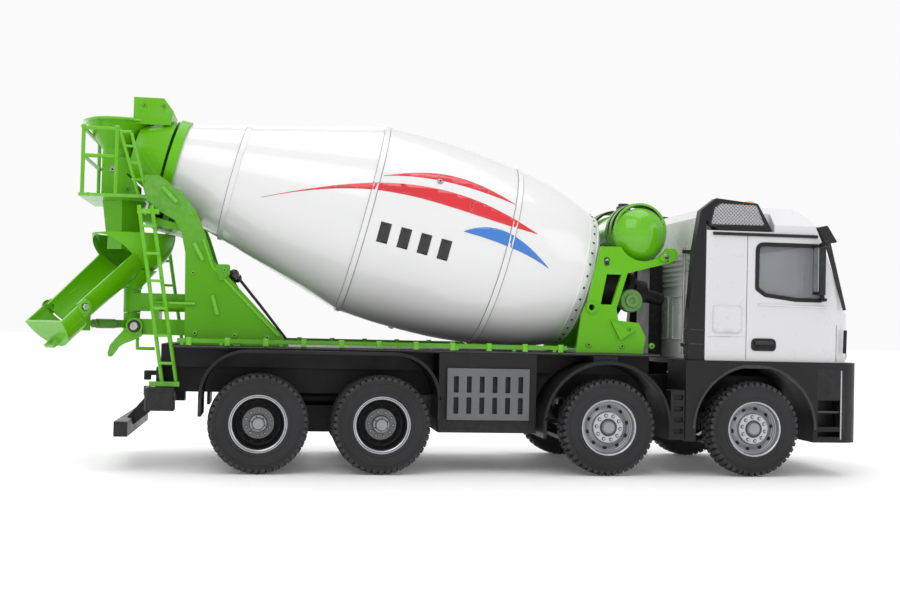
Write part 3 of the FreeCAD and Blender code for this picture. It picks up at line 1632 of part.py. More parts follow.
def sun_visor():
    """The visor over the windscreen and the drip rail on each side."""
    x = cab_front
    visor = pad(
        "XZ_Plane",
        [
            (x - 32, cab_roof - 11),
            (x - 21, cab_roof - 11),
            (x - 15, head + 3),
            (x - 17.5, head + 3),
            (x - 22.5, cab_roof - 13.5),
            (x - 32, cab_roof - 13.5),
        ],
        13 - cab_out,
        cab_out - 13,
    )
    rails = []
    for y in sides(cab_out, cab_out + 1.5):
        rails.append(box((cab_rear + 4, cab_rear + 74), y, (duct_room_z[0] - 3, duct_room_z[0] - 1)))
    return group(cut(visor, cab_volume(0)), *rails)


def cab_base():
    """The black lower cab: front arches, bumper, steps and the cab's floor."""
    front = DIM["bumper_front_x"]
    bottom = DIM["bumper_bottom"]
    rear = cab_rear - 13
    inner = rail_out + 11
    pieces = []
    for y in sides(inner, half_track):
        block = box((rear, front - 14), y, (bottom, cab_floor))
        arch = tunnel(
            (axle_one - arch_in, axle_one + arch_in),
            (bottom - 1, axle_z + arch_in),
            arch_in - 1,
            (y[0] - 2, y[1] + 2),
        )
        recess_y = (y[0] - 1, y[0] + 12) if y[0].value < 0 else (y[1] - 12, y[1] + 1)
        step = box((axle_one + arch_in + 3, front - 11), recess_y, (axle_z + 2, cab_floor - 5))
        lower_step = box((axle_one + arch_in + 3, front - 11), recess_y, (bottom + 3, axle_z - 1))
        pieces.append(cut(block, arch, step, lower_step))
    nose = pad(
        "XY_Plane",
        [
            (front - 15, -half_track),
            (front - 12, -half_track),
            (front - 2, 12 - half_track, 12),
            (front, 0),
            (front - 2, half_track - 12),
            (front - 12, half_track, 12),
            (front - 15, half_track),
        ],
        bottom,
        cab_floor,
    )
    bay = box((front - 16, front - 5), (-rail_out - 18, rail_out + 18), (bottom - 1, cab_floor - 4))
    pieces.append(cut(nose, bay))
    floor = box((rear, front - 14), (-inner - 1, inner + 1), (cab_floor - 3, cab_floor))
    pieces.append(floor)
    for x in (cab_rear + 12, axle_one + 44):
        for low, high in sides(rail_in, rail_out):
            pieces.append(box((x, x + 6), (low, high), (rail_top, cab_floor - 2)))
    pieces.append(box((cab_rear - 11, cab_rear - 2), (14, 42), (cab_floor - 1, head - 8)))
    pockets = []
    for pocket in lamp_pockets(0.1):
        pockets.append(box(*pocket))
    return cut(fuse(*pieces), *pockets)


def lamp_pockets(grow):
    """The room of each headlamp and fog lamp in the bumper."""
    front = DIM["bumper_front_x"]
    rooms = []
    for low, high in sides(half_track - 24, half_track - 9):
        lamp = (low - grow, high + grow)
        rooms.append(((front - 9 - grow, front + 2), lamp, (axle_z + 6 - grow, axle_z + 20 + grow)))
        fog = (low + 3 - grow, high - 3 + grow)
        rooms.append(((front - 9 - grow, front + 2), fog, (axle_z - 5 - grow, axle_z + 1 + grow)))
    return rooms


def head_lights():
    lamps = []
    front = DIM["bumper_front_x"]
    for x, y, z in lamp_pockets(0):
        lamps.append(box((x[0], front - 2.5), y, z))
    return group(*lamps)


def mirrors():
    """A mirror head on two arms at each front corner of the cab."""
    made = []
    outer = DIM["mirror_width"] / 2
    x = window_x[1] - 4
    for side in (-1, 1):
        low, high = sides(cab_out + 3, outer)[0 if side < 0 else 1]
        arm_low, arm_high = sides(cab_out, outer - 5)[0 if side < 0 else 1]
        glass = box((x - 4, x), (low, high), (sill + 3, head - 1))
        arms = []
        for height in (sill + 0, head + 1):
            arms.append(bar("y", arm_low, arm_high, 1.1, x + 2.5, height))
        stem = bar("z", sill - 1, head + 2, 1.4, x + 1.2, (arm_low + arm_high) / 2 + 2 * side)
        made.append(fuse(glass, stem, *arms))
    return group(*made)


def air_ducts():
    """An intake snorkel behind each rear corner of the cab, with its meshed head."""
    made = []
    for low, high in sides(duct_in + 0.2, cab_out - 0.5):
        duct = pad(
            "XZ_Plane",
            [
                (cab_rear - 11, cab_floor),
                (cab_rear - 0.2, cab_floor),
                (cab_rear - 0.2, cab_roof - 10),
                (cab_rear + 7, duct_room_z[0] + 0.5),
                (duct_room_x[1] - 1, duct_room_z[0] + 0.5),
                (cab_rear + 34, cab_roof + 1.3),
                (cab_rear + 6, cab_roof + 4),
                (cab_rear - 4, cab_roof - 4),
                (cab_rear - 8, cab_roof - 30),
                (cab_rear - 11.5, cab_floor + 21),
            ],
            low,
            high,
        )
        made.append(duct)
    return group(*made)


def cab_interior():
    """Floor, seats, dashboard and steering wheel in one moulding."""
    rear, front = cab_rear + 6, cab_front - 24
    half = cab_out - 5
    pieces = [box((rear, front), (-half, half), (cab_floor, cab_floor + 2))]
    pieces.append(box((front - 12, front), (4 - half, half - 4), (cab_floor + 1, sill - 8)))
    for low, high in sides(12, 42):
        pieces.append(box((rear + 18, rear + 42), (low, high), (cab_floor + 1, cab_floor + 22)))
        pieces.append(box((rear + 14, rear + 21), (low, high), (cab_floor + 1, sill + 18)))
        pieces.append(box((rear + 14, rear + 20), (low + 7, high - 7), (sill + 17, sill + 28)))
    column = slant((front - 8, sill - 14), (front - 16, sill + 2), 2, 27)
    wheel = put(group(bar("z", 0, 2, 9, 0, 0)), front - 16, 27, sill + 1, (0, 1, 0), -30)
    return fuse(*pieces, column, wheel)


def beacon():
    x = cab_front - 41
    base = bar("z", cab_roof, cab_roof + 2, 6.5, x - 6, 0)
    lens = bar("z", cab_roof + 2, cab_roof + 9, 5.2, x - 6, 0, small_radius=4.4)
    cap = bar("z", cab_roof + 9, cab_roof + 10, 4.4, x - 6, 0, small_radius=3)
    return fuse(base, lens, cap)


node("cab_shell", cab_shell())
node("cab_windows", cab_windows())
node("sun_visor", sun_visor())
node("cab_base", cab_base())
node("head_lights", head_lights())
node("mirrors", mirrors())
node("air_ducts", air_ducts())
node("cab_interior", cab_interior())
node("beacon", beacon())


# ---------------------------------------------------------------- wheels and steering

tyre = DIM["tyre_dia"] / 2
rim = DIM["rim_dia"] / 2
arm = DIM["steering_arm"]
link_low = axle_z - 14
link_high = link_low + 3


def tyre_body(x, low, high):
    """A tyre with rounded shoulders and side walls that draw in to the rim."""
    low, high = size(low), size(high)
    body = turned(
        "YZ_Plane",
        [
            (low + 2, rim),
            (high - 2, rim),
            (high, rim + 4),
            (high, tyre - 3.5),
            (high - 1.2, tyre - 0.8),
            (high - 3, tyre),
            (low + 3, tyre),
            (low + 1.2, tyre - 0.8),
            (low, tyre - 3.5),
            (low, rim + 4),
        ],
    )
    return put(body, x, 0, axle_z)


def mirrored(side, inner, outer):
    """A (low, high) pair of Y measured outwards on one side of the truck."""
    return sides(inner, outer)[0 if side < 0 else 1]


def front_tyre(x, side):
    return tyre_body(x, *mirrored(side, half_track - DIM["front_tyre_width"], half_track))


def front_rim(x, side):
    """A rim with a flat ring of holes, a raised nut circle and a hub."""
    inner = half_track - DIM["front_tyre_width"] + 1
    outer = half_track - 1
    wall = DIM["rim_wall"]
    out_y = mirrored(side, inner, outer)
    well = mirrored(side, inner - 1, outer - 5)
    dish = mirrored(side, outer - 3, outer + 1)
    hollow = fuse(
        bar("y", *well, rim - wall, x, axle_z),
        bar("y", *dish, rim - wall, x, axle_z),
    )
    holes = []
    across = mirrored(side, inner, outer + 2)
    for number in range(10):
        turn = number * pi / 5
        place_x = x + (rim - 4.2) * cos(turn)
        place_z = axle_z + (rim - 4.2) * sin(turn)
        holes.append(bar("y", *across, 1.5, place_x, place_z))
    disc = cut(bar("y", *out_y, rim, x, axle_z), hollow, *holes)
    hub = bar("y", *mirrored(side, inner, outer + 1), DIM["stub_dia"] / 2 + 2.5, x, axle_z)
    nuts = []
    for number in range(10):
        turn = (number + 0.5) * pi / 5
        place_x = x + 8 * cos(turn)
        place_z = axle_z + 8 * sin(turn)
        nuts.append(bar("y", *mirrored(side, outer - 4, outer - 1.8), 0.9, place_x, place_z))
    bore = bar("y", *mirrored(side, inner - 1, outer - 3), DIM["stub_dia"] / 2 + gap, x, axle_z)
    return cut(fuse(disc, hub, *nuts), bore)


def knuckle(x, side):
    """The block between the fork's ears, with kingpin, stub axle and steering arm."""
    y = kingpin_y * side
    block = box((x - 3.5, x + 3.5), mirrored(side, kingpin_y - 2.6, kingpin_y + 4.4),
                (axle_z - 6.8, axle_z + 6.8))
    kingpin = bar("z", axle_z - 10, axle_z + 10, DIM["kingpin_dia"] / 2, x, y)
    stub_out = half_track - 4.3
    stub = bar("y", *mirrored(side, kingpin_y, stub_out), DIM["stub_dia"] / 2, x, axle_z)
    shoulder = bar("y", *mirrored(side, kingpin_y + 3, kingpin_y + 6.6), 4, x, axle_z)
    lever = box((x - arm - 2.5, x), mirrored(side, kingpin_y - 2.2, kingpin_y + 2.2),
                (axle_z - 6.8, axle_z - 4))
    pin = bar("z", link_low, axle_z - 4, 1.5, x - arm, y)
    return fuse(block, kingpin, stub, shoulder, lever, pin)


def steering_link():
    """One flat link that ties all four steering arms together."""
    pieces = []
    bores = []
    for x in (axle_one - arm, axle_two - arm):
        pieces.append(box((x - 3, x + 3), (-kingpin_y, kingpin_y), (link_low, link_high)))
        for y in (-kingpin_y, kingpin_y):
            pieces.append(bar("z", link_low, link_high, 3.6, x, y))
            bores.append(bar("z", link_low - 1, link_high + 1, 1.5 + gap, x, y))
    pieces.append(box((axle_two - arm, axle_one - arm), (-3, 3), (link_low, link_high)))
    return cut(fuse(*pieces), *bores)


def rear_tyres(x):
    width = DIM["dual_tyre_width"]
    made = []
    for side in (-1, 1):
        made.append(tyre_body(x, *mirrored(side, half_track - width, half_track)))
        inner = half_track - width * 2 - DIM["dual_gap"]
        made.append(tyre_body(x, *mirrored(side, inner, inner + width)))
    return group(*made)


def rear_rims(x):
    """Both double rims of an axle, pressed onto its through shaft."""
    shaft_end = half_track - 1.5
    pieces = [bar("y", -shaft_end, shaft_end, DIM["axle_shaft_dia"] / 2, x, axle_z)]
    wall = DIM["rim_wall"]
    inner = half_track - DIM["dual_tyre_width"] * 2 - DIM["dual_gap"] + 1
    outer = half_track - 1
    for side in (-1, 1):
        barrel = cut(
            bar("y", *mirrored(side, inner, outer), rim, x, axle_z),
            bar("y", *mirrored(side, inner - 1, outer - 12), rim - wall, x, axle_z),
            bar("y", *mirrored(side, outer - 9.5, outer + 1), rim - wall, x, axle_z),
        )
        hub = bar("y", *mirrored(side, outer - 14, outer - 3), 6.5, x, axle_z)
        cap = bar("y", *mirrored(side, outer - 4, outer), 4.2, x, axle_z)
        nuts = []
        for number in range(10):
            turn = number * pi / 5
            place_x = x + 10.5 * cos(turn)
            place_z = axle_z + 10.5 * sin(turn)
            nuts.append(bar("y", *mirrored(side, outer - 10, outer - 8), 1, place_x, place_z))
        pieces += [barrel, hub, cap, *nuts]
    return fuse(*pieces)


STEERED = (
    ("front_right", axle_one, -1),
    ("front_left", axle_one, 1),
    ("second_right", axle_two, -1),
    ("second_left", axle_two, 1),
)
for place, x, side in STEERED:
    node("tyre_" + place, front_tyre(x, side))
    node("rim_" + place, front_rim(x, side))
    node("knuckle_" + place, knuckle(x, side))
node("steering_link", steering_link())
for place, x in (("third", axle_three), ("fourth", axle_four)):
    node("tyres_" + place, rear_tyres(x))
    node("rims_" + place, rear_rims(x))


# ---------------------------------------------------------------- check and write

doc.recompute()
failed = [thing.Label for thing in doc.Objects if {"Invalid", "Error"} & set(thing.State)]
if failed:
    raise RuntimeError("objects failed: %s" % failed)
for thing in NODES:
    if thing.Shape.isNull() or not thing.Shape.isValid() or not thing.Shape.Solids:
        raise RuntimeError("bad shape: %s" % thing.Label)
os.makedirs("parts", exist_ok=True)
for thing in NODES:
    thing.Shape.exportStep("parts/%s.step" % thing.Label)
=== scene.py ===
import bmesh
import bpy
import json
import math
import random
from mathutils import Matrix, Vector
from mathutils.bvhtree import BVHTree


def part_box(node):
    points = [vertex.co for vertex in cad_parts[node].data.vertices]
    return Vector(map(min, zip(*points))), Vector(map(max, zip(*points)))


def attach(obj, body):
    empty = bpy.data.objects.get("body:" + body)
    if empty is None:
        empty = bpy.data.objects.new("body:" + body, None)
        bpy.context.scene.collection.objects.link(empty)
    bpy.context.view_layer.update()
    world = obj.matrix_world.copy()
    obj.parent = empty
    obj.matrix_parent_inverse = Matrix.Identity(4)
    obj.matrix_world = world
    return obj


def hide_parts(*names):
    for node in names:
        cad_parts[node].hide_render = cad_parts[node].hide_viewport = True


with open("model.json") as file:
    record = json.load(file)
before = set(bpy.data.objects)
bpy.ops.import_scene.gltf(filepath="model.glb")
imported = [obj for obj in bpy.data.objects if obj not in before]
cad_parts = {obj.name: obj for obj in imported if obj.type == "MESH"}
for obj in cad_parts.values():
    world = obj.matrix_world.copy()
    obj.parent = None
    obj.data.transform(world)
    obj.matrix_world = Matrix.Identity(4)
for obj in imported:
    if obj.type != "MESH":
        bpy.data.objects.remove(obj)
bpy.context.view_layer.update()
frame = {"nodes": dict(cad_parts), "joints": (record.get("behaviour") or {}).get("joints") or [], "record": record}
NODES = frame["nodes"]
MM = 0.001
shift = Matrix.Translation
rng = random.Random(7)


# ---------------------------------------------------------------- materials

def node_material(name):
    mat = bpy.data.materials.new(name)
    mat.use_nodes = True
    tree = mat.node_tree
    return mat, tree, tree.nodes["Principled BSDF"]


def add_node(tree, kind, **values):
    """A shader node with its input sockets set; an underscore stands for a space."""
    made = tree.nodes.new("ShaderNode" + kind)
    for socket, value in values.items():
        made.inputs[socket.replace("_", " ")].default_value = value
    return made


def noise(tree, scale, detail):
    coord = add_node(tree, "TexCoord")
    tex = add_node(tree, "TexNoise", Scale=scale, Detail=detail, Roughness=0.55)
    tree.links.new(coord.outputs["Object"], tex.inputs["Vector"])
    return tex.outputs["Fac"]


def ramp(tree, fac, low, high):
    """A colour that runs from one (place, colour) stop to another."""
    node = add_node(tree, "ValToRGB")
    for element, (place, colour) in zip(node.color_ramp.elements, (low, high)):
        element.position = place
        element.color = (*colour, 1)
    tree.links.new(fac, node.inputs["Fac"])
    return node.outputs["Color"]


def spread(tree, fac, low, high):
    node = add_node(tree, "MapRange", From_Min=0.3, From_Max=0.7, To_Min=low, To_Max=high)
    tree.links.new(fac, node.inputs["Value"])
    return node.outputs["Result"]


def bump(tree, shader, height, strength, distance):
    node = add_node(tree, "Bump", Strength=strength, Distance=distance)
    tree.links.new(height, node.inputs["Height"])
    tree.links.new(node.outputs["Normal"], shader.inputs["Normal"])


def linked(name, data):
    """A new object, in the scene."""
    obj = bpy.data.objects.new(name, data)
    bpy.context.scene.collection.objects.link(obj)
    return obj


def scaled(colour, k):
    return tuple(min(1, c * k) for c in colour)


def moulded(name, colour, rough=0.4, grain=2600, strength=0.15, vary=0.08, coat=0.0, wear=0.0,
            spec=0.5, metal=0.0):
    """Moulded or painted plastic: cloudy tone, fine grain, and paler handled edges."""
    mat, tree, shader = node_material(name)
    tone = ramp(tree, noise(tree, 26, 5), (0.32, scaled(colour, 1 - vary)), (0.68, scaled(colour, 1 + vary)))
    if wear:
        geometry = add_node(tree, "NewGeometry")
        edge = add_node(tree, "MapRange", From_Min=0.53, From_Max=0.62)
        tree.links.new(geometry.outputs["Pointiness"], edge.inputs["Value"])
        broken = add_node(tree, "Math")
        broken.operation = "MULTIPLY"
        tree.links.new(edge.outputs["Result"], broken.inputs[0])
        tree.links.new(spread(tree, noise(tree, 300, 3), 0.1 * wear, wear), broken.inputs[1])
        mix = add_node(tree, "Mix")
        mix.data_type = "RGBA"
        tree.links.new(broken.outputs["Value"], mix.inputs["Factor"])
        tree.links.new(tone, mix.inputs["A"])
        mix.inputs["B"].default_value = (*[min(1, c * 0.6 + 0.28) for c in colour], 1)
        tone = mix.outputs["Result"]
    tree.links.new(tone, shader.inputs["Base Color"])
    fine = noise(tree, grain, 3)
    tree.links.new(spread(tree, noise(tree, 90, 5), rough * 0.85, rough * 1.15),
                   shader.inputs["Roughness"])
    bump(tree, shader, fine, strength, 0.00006)
    shader.inputs["Specular IOR Level"].default_value = spec
    shader.inputs["Metallic"].default_value = metal
    if coat:
        shader.inputs["Coat Weight"].default_value = coat
        shader.inputs["Coat Roughness"].default_value = 0.06
    return mat


def clear(name, colour, alpha, rough=0.05):
    mat, tree, shader = node_material(name)
    tone = ramp(tree, noise(tree, 40, 4), (0.3, scaled(colour, 0.9)), (0.7, colour))
    tree.links.new(tone, shader.inputs["Base Color"])
    tree.links.new(spread(tree, noise(tree, 120, 4), rough * 0.7, rough * 1.4),
                   shader.inputs["Roughness"])
    bump(tree, shader, noise(tree, 30, 2), 0.06, 0.0002)
    shader.inputs["Alpha"].default_value = alpha
    shader.inputs["Specular IOR Level"].default_value = 0.7
    return mat


GREEN = (0.115, 0.43, 0.002)
# Painted shade: the same green made darker, for the frame plates that face the camera and get little of the light
# from above.
SHADED_GREEN = (0.078, 0.31, 0.002)
M = {
    "green": moulded("green_moulding", GREEN, 0.34, 2400, 0.12, 0.05, 0.25, 0.25, 0.16),
    "green_deep": moulded("green_plate_painted_shade", SHADED_GREEN, 0.38, 2400, 0.12, 0.05, 0.15, 0.25, 0.14),
    "green_gloss": moulded("green_gloss_moulding", GREEN, 0.22, 1500, 0.05, 0.04, 0.6, 0.15, 0.3),
    "green_dull": moulded("green_strap", (0.11, 0.27, 0.05), 0.45, 1800, 0.2, 0.1),
    "white": moulded("white_gloss_paint", (0.72, 0.72, 0.72), 0.2, 900, 0.02, 0.006, 0.5),
    "white_cab": moulded("white_cab_paint", (0.62, 0.62, 0.63), 0.3, 1400, 0.02, 0.006, 0.3),
    "black": moulded("black_moulding", (0.0085, 0.0085, 0.0095), 0.42, 2200, 0.25, 0.25, 0, 0.12, 0.28),
    "black_gloss": moulded("black_gloss_moulding", (0.008, 0.008, 0.009), 0.22, 1500, 0.1, 0.2, 0.3, 0.08,
                           0.4),
    "black_soft": moulded("black_seal", (0.012, 0.012, 0.012), 0.6, 3000, 0.4, 0.3, spec=0.28),
    "silver": moulded("silver_paint", (0.27, 0.275, 0.285), 0.36, 3800, 0.12, 0.06, 0.1, 0.2, 0.5, 0.6),
    "silver_dark": moulded("dark_silver_paint", (0.125, 0.127, 0.13), 0.4, 3800, 0.12, 0.06, 0.1, 0.15,
                           0.5, 0.4),
    "silver_bright": moulded("bright_silver_paint", (0.45, 0.46, 0.48), 0.28, 3000, 0.08, 0.05, 0.1, 0.1,
                             0.5, 0.75),
    "steel": moulded("zinc_screw_steel", (0.45, 0.44, 0.42), 0.3, 5000, 0.2, 0.12, 0, 0, 0.5, 0.95),
    "rubber": moulded("tyre_rubber_look", (0.0145, 0.0145, 0.016), 0.6, 2600, 0.5, 0.25, 0, 0.1, 0.35),
    "grey": moulded("grey_moulding", (0.2, 0.2, 0.21), 0.5, 2400, 0.3, 0.1, 0, 0.15),
    "pale": moulded("pale_cab_back", (0.6, 0.61, 0.62), 0.4, 2000, 0.15, 0.05, 0, 0.1),
    "red": moulded("red_graphic", (0.62, 0.012, 0.022), 0.24, 900, 0.04, 0.05, 0.6),
    "blue": moulded("blue_graphic", (0.02, 0.17, 0.55), 0.24, 900, 0.04, 0.05, 0.6),
    # Painted shade: a near-black colour laid in holes, screw sockets, slots, gaps and recesses, and as lines
    # beside raised straps.
    "dark": moulded("recess_painted_shade", (0.004, 0.004, 0.004), 0.8, 2000, 0.2, 0.3),
    "glass": clear("smoke_window", (0.26, 0.28, 0.29), 0.5, 0.06),
    "lamp": clear("clear_lamp_lens", (0.75, 0.82, 0.95), 0.75, 0.08),
    "amber": moulded("amber_lens", (0.85, 0.24, 0.01), 0.18, 1200, 0.1, 0.1, 0.8),
    "red_lens": moulded("red_lens", (0.5, 0.01, 0.012), 0.18, 1200, 0.1, 0.1, 0.8),
    "mirror": moulded("mirror_foil", (0.72, 0.74, 0.76), 0.12, 900, 0.03, 0.03, 0, 0, 0.5, 0.95),
    "board": moulded("circuit_board_green", (0.02, 0.14, 0.05), 0.4, 1500, 0.3, 0.2),
    "blue_wrap": moulded("battery_wrap_blue", (0.03, 0.09, 0.4), 0.35, 1200, 0.1, 0.1),
}
SLOT_LOOK = {
    "white_gloss": "white", "green_plastic": "green", "green_gloss": "green_gloss", "black_plastic": "black",
    "silver_plastic": "silver", "tyre_rubber": "rubber", "clear_plastic": "glass",
    "amber_plastic": "amber", "red_plastic": "red_lens", "lamp_plastic": "lamp", "board": "board",
    "motor_steel": "steel", "grey_plastic": "grey", "blue_wrap": "blue_wrap",
}
NODE_LOOK = {
    "cab_shell": "white_cab", "rear_frame": "green_deep", "service_platform": "green", "ladders": "green",
    "chute_bracket": "green", "chute_swivel": "green", "chute_strut": "green_dull",
    "side_covers": "silver_dark",
}
SHARP_NODE = "rear_frame"


def dress(obj, look):
    obj.data.materials.clear()
    obj.data.materials.append(M[look])


def soften(obj, width=0.35, angle=32, segments=2):
    """Rounded edges and smooth curved faces on a CAD node, by modifiers only."""
    normals = obj.data.attributes.get("custom_normal")
    if normals:
        obj.data.attributes.remove(normals)
    for poly in obj.data.polygons:
        poly.use_smooth = True
    weld = obj.modifiers.new("weld", "WELD")
    weld.merge_threshold = 0.000004
    bevel = obj.modifiers.new("bevel", "BEVEL")
    bevel.width = width * MM
    bevel.segments = segments
    bevel.limit_method = "ANGLE"
    bevel.angle_limit = math.radians(angle)
    bevel.harden_normals = True
    bevel.miter_outer = "MITER_ARC"
    bevel.use_clamp_overlap = True


slots = {s["node"]: s["material_slot"] for s in frame["record"]["subparts"]}
for name, obj in NODES.items():
    dress(obj, NODE_LOOK.get(name, SLOT_LOOK[slots[name]]))
    if name != SHARP_NODE:
        soften(obj)


# ---------------------------------------------------------------- mesh pieces, in millimetres

class Piece:
    """Collects faces in several materials and becomes one object."""

    def __init__(self):
        self.verts, self.faces, self.looks = [], [], []

    def add(self, verts, faces, look, matrix=None):
        base = len(self.verts)
        for v in verts:
            self.verts.append((matrix @ Vector(v)) if matrix else Vector(v))
        for face in faces:
            self.faces.append([base + i for i in face])
            self.looks.append(look)

    def lathe(self, profile, look, matrix=None, segments=64, closed=False):
        """Turn (along, radius) points about the Y axis."""
        verts, faces = [], []
        for a, r in profile:
            for k in range(segments):
                t = 2 * math.pi * k / segments
                verts.append((r * math.cos(t), a, r * math.sin(t)))
        rows = len(profile) if closed else len(profile) - 1
        for i in range(rows):
            j = (i + 1) % len(profile)
            for k in range(segments):
                n = (k + 1) % segments
                faces.append((i * segments + k, i * segments + n, j * segments + n, j * segments + k))
        self.add(verts, faces, look, matrix)

    def prism(self, outline, low, high, look, matrix=None, chamfer=0.0, plane="xz"):
        """An outline of (x, z) points given thickness along Y, with chamfered edges."""
        n = len(outline)

        def inset(amount):
            made = []
            for i, (x, z) in enumerate(outline):
                px, pz = outline[i - 1]
                nx, nz = outline[(i + 1) % n]
                d1 = Vector((x - px, z - pz)).normalized()
                d2 = Vector((nx - x, nz - z)).normalized()
                bis = Vector((-(d1.y + d2.y), d1.x + d2.x))
                if bis.length < 1e-6:
                    bis = Vector((-d1.y, d1.x))
                bis.normalize()
                k = amount / max(0.35, bis.dot(Vector((-d1.y, d1.x))))
                made.append((x + bis.x * k * turn_sign, z + bis.y * k * turn_sign))
            return made

        area = sum(outline[i - 1][0] * outline[i][1] - outline[i][0] * outline[i - 1][1] for i in range(n))
        turn_sign = 1 if area > 0 else -1
        rings = [(outline, low), (outline, high)]
        if chamfer:
            small = inset(chamfer)
            rings = [(small, low), (outline, low + chamfer), (outline, high - chamfer), (small, high)]
        verts, faces = [], []
        for ring, level in rings:
            for u, w in ring:
                verts.append({"xz": (u, level, w), "xy": (u, w, level), "yz": (level, u, w)}[plane])
        for i in range(len(rings) - 1):
            for k in range(n):
                m = (k + 1) % n
                faces.append((i * n + k, i * n + m, (i + 1) * n + m, (i + 1) * n + k))
        faces.append(tuple(range(n)))
        faces.append(tuple((len(rings) - 1) * n + k for k in range(n - 1, -1, -1)))
        self.add(verts, faces, look, matrix)

    def block(self, x, y, z, look, chamfer=0.3, matrix=None):
        outline = [(x[0], z[0]), (x[1], z[0]), (x[1], z[1]), (x[0], z[1])]
        self.prism(outline, y[0], y[1], look, matrix, chamfer)

    def tube(self, points, radius, look, segments=12, matrix=None, flat=1.0):
        """A round bar through points, with square mitres softened by its own sections."""
        points = [Vector(p) for p in points]
        verts, faces = [], []
        up_hint = Vector((0, 0, 1))
        for i, p in enumerate(points):
            before = (p - points[i - 1]).normalized() if i else None
            after = (points[i + 1] - p).normalized() if i + 1 < len(points) else None
            along = ((before or after) + (after or before)).normalized()
            hint = up_hint if abs(along.dot(up_hint)) < 0.9 else Vector((1, 0, 0))
            side = along.cross(hint).normalized()
            lift = side.cross(along).normalized()
            for k in range(segments):
                t = 2 * math.pi * k / segments
                verts.append(p + side * radius * math.cos(t) + lift * radius * flat * math.sin(t))
        for i in range(len(points) - 1):
            for k in range(segments):
                m = (k + 1) % segments
                a, b = i * segments, (i + 1) * segments
                faces.append((a + k, a + m, b + m, b + k))
        faces.append(tuple(range(segments - 1, -1, -1)))
        last = (len(points) - 1) * segments
        faces.append(tuple(last + k for k in range(segments)))
        self.add(verts, faces, look, matrix)

    def bolt(self, place, axis, radius, look="steel", head=1.2):
        """A washer, a screw head and a disc of painted shade for its socket, pointing along an axis."""
        m = shift(place) @ along_y(axis)
        self.lathe([(0, 0), (0, radius * 1.35), (0.25, radius * 1.35), (0.35, radius * 1.2)], look, m, 20)
        self.lathe([(0.2, radius), (head * 0.8, radius), (head, radius * 0.85), (head, 0.001)], look, m, 20)
        # Painted shade: a dark disc where the socket's hole would be.
        self.lathe([(head + 0.02, radius * 0.5), (head + 0.04, 0.001)], "dark", m, 6)

    def make(self, name, body, smooth=35, slot=None):
        mesh = bpy.data.meshes.new(name)
        mesh.from_pydata([v * MM for v in self.verts], [], self.faces)
        names = sorted(set(self.looks))
        for look in names:
            mesh.materials.append(M[look])
        for poly, look in zip(mesh.polygons, self.looks):
            poly.material_index = names.index(look)
            poly.use_smooth = True
        made = bmesh.new()
        made.from_mesh(mesh)
        bmesh.ops.recalc_face_normals(made, faces=made.faces)
        for edge in made.edges:
            if len(edge.link_faces) == 2 and edge.calc_face_angle(0) > math.radians(smooth):
                edge.smooth = False
        made.to_mesh(mesh)
        made.free()
        obj = linked(name, mesh)
        if body:
            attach(obj, body)
        return obj


SIDES = ((-1, "right"), (1, "left"))
FLIP = {1: Matrix.Identity(4), -1: Matrix.Diagonal((1, -1, 1, 1))}
QUARTER_UP = Matrix.Rotation(math.radians(90), 4, "X")
QUARTER_LEFT = Matrix.Rotation(math.radians(90), 4, "Z")
QUARTER_RIGHT = Matrix.Rotation(math.radians(-90), 4, "Z")


def at(node):
    """Lowest and highest corner of a CAD node, in millimetres."""
    low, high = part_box(node)
    return low / MM, high / MM


def joint(name):
    """A joint's place, in millimetres, and its axis."""
    found = next(j for j in frame["joints"] if j["name"] == name)
    return Vector(found["pos_m"]) / MM, Vector(found["axis"]).normalized()


def along_y(axis):
    """The turn that takes +Y to an axis."""
    return Vector(axis).to_track_quat("Y", "Z").to_matrix().to_4x4()


def arc_points(cx, cz, radius, start, stop, count):
    made = []
    for i in range(count + 1):
        t = math.radians(start + (stop - start) * i / count)
        made.append((cx + radius * math.cos(t), cz + radius * math.sin(t)))
    return made


def rounded(corners, radii, count=6):
    """An outline whose corners are rounded, each to its own radius."""
    made = []
    n = len(corners)
    for i, corner in enumerate(corners):
        p, q, r = Vector(corners[i - 1]), Vector(corner), Vector(corners[(i + 1) % n])
        radius = radii[i] if isinstance(radii, (list, tuple)) else radii
        d1, d2 = (p - q).normalized(), (r - q).normalized()
        angle = math.acos(max(-1, min(1, d1.dot(d2))))
        back = min(radius / max(0.05, math.tan(angle / 2)), (p - q).length * 0.49, (r - q).length * 0.49)
        a, b = q + d1 * back, q + d2 * back
        for k in range(count + 1):
            t = k / count
            made.append(tuple(a * (1 - t) ** 2 + q * 2 * t * (1 - t) + b * t * t))
    return made


def rounded_box(x, z, radii):
    """A rectangle's outline with rounded corners, between two x and two z levels."""
    return rounded([(x[0], z[0]), (x[1], z[0]), (x[1], z[1]), (x[0], z[1])], radii)


def moved(x, z, points):
    """Points given from a corner at (x, z)."""
    return [(x + px, z + pz) for px, pz in points]


def circle(count, phase, radius, level):
    """Frames evenly spaced on a circle about the Y axis."""
    made = []
    for k in range(count):
        t = 2 * math.pi * (k + phase) / count
        made.append(shift((radius * math.cos(t), level, radius * math.sin(t))))
    return made


def surface(*nodes):
    """A tree for finding points on CAD nodes, in millimetres."""
    verts, faces = [], []
    for node in nodes:
        mesh = NODES[node].data
        base = len(verts)
        verts += [v.co / MM for v in mesh.vertices]
        faces += [[base + i for i in p.vertices] for p in mesh.polygons]
    return BVHTree.FromPolygons(verts, faces)


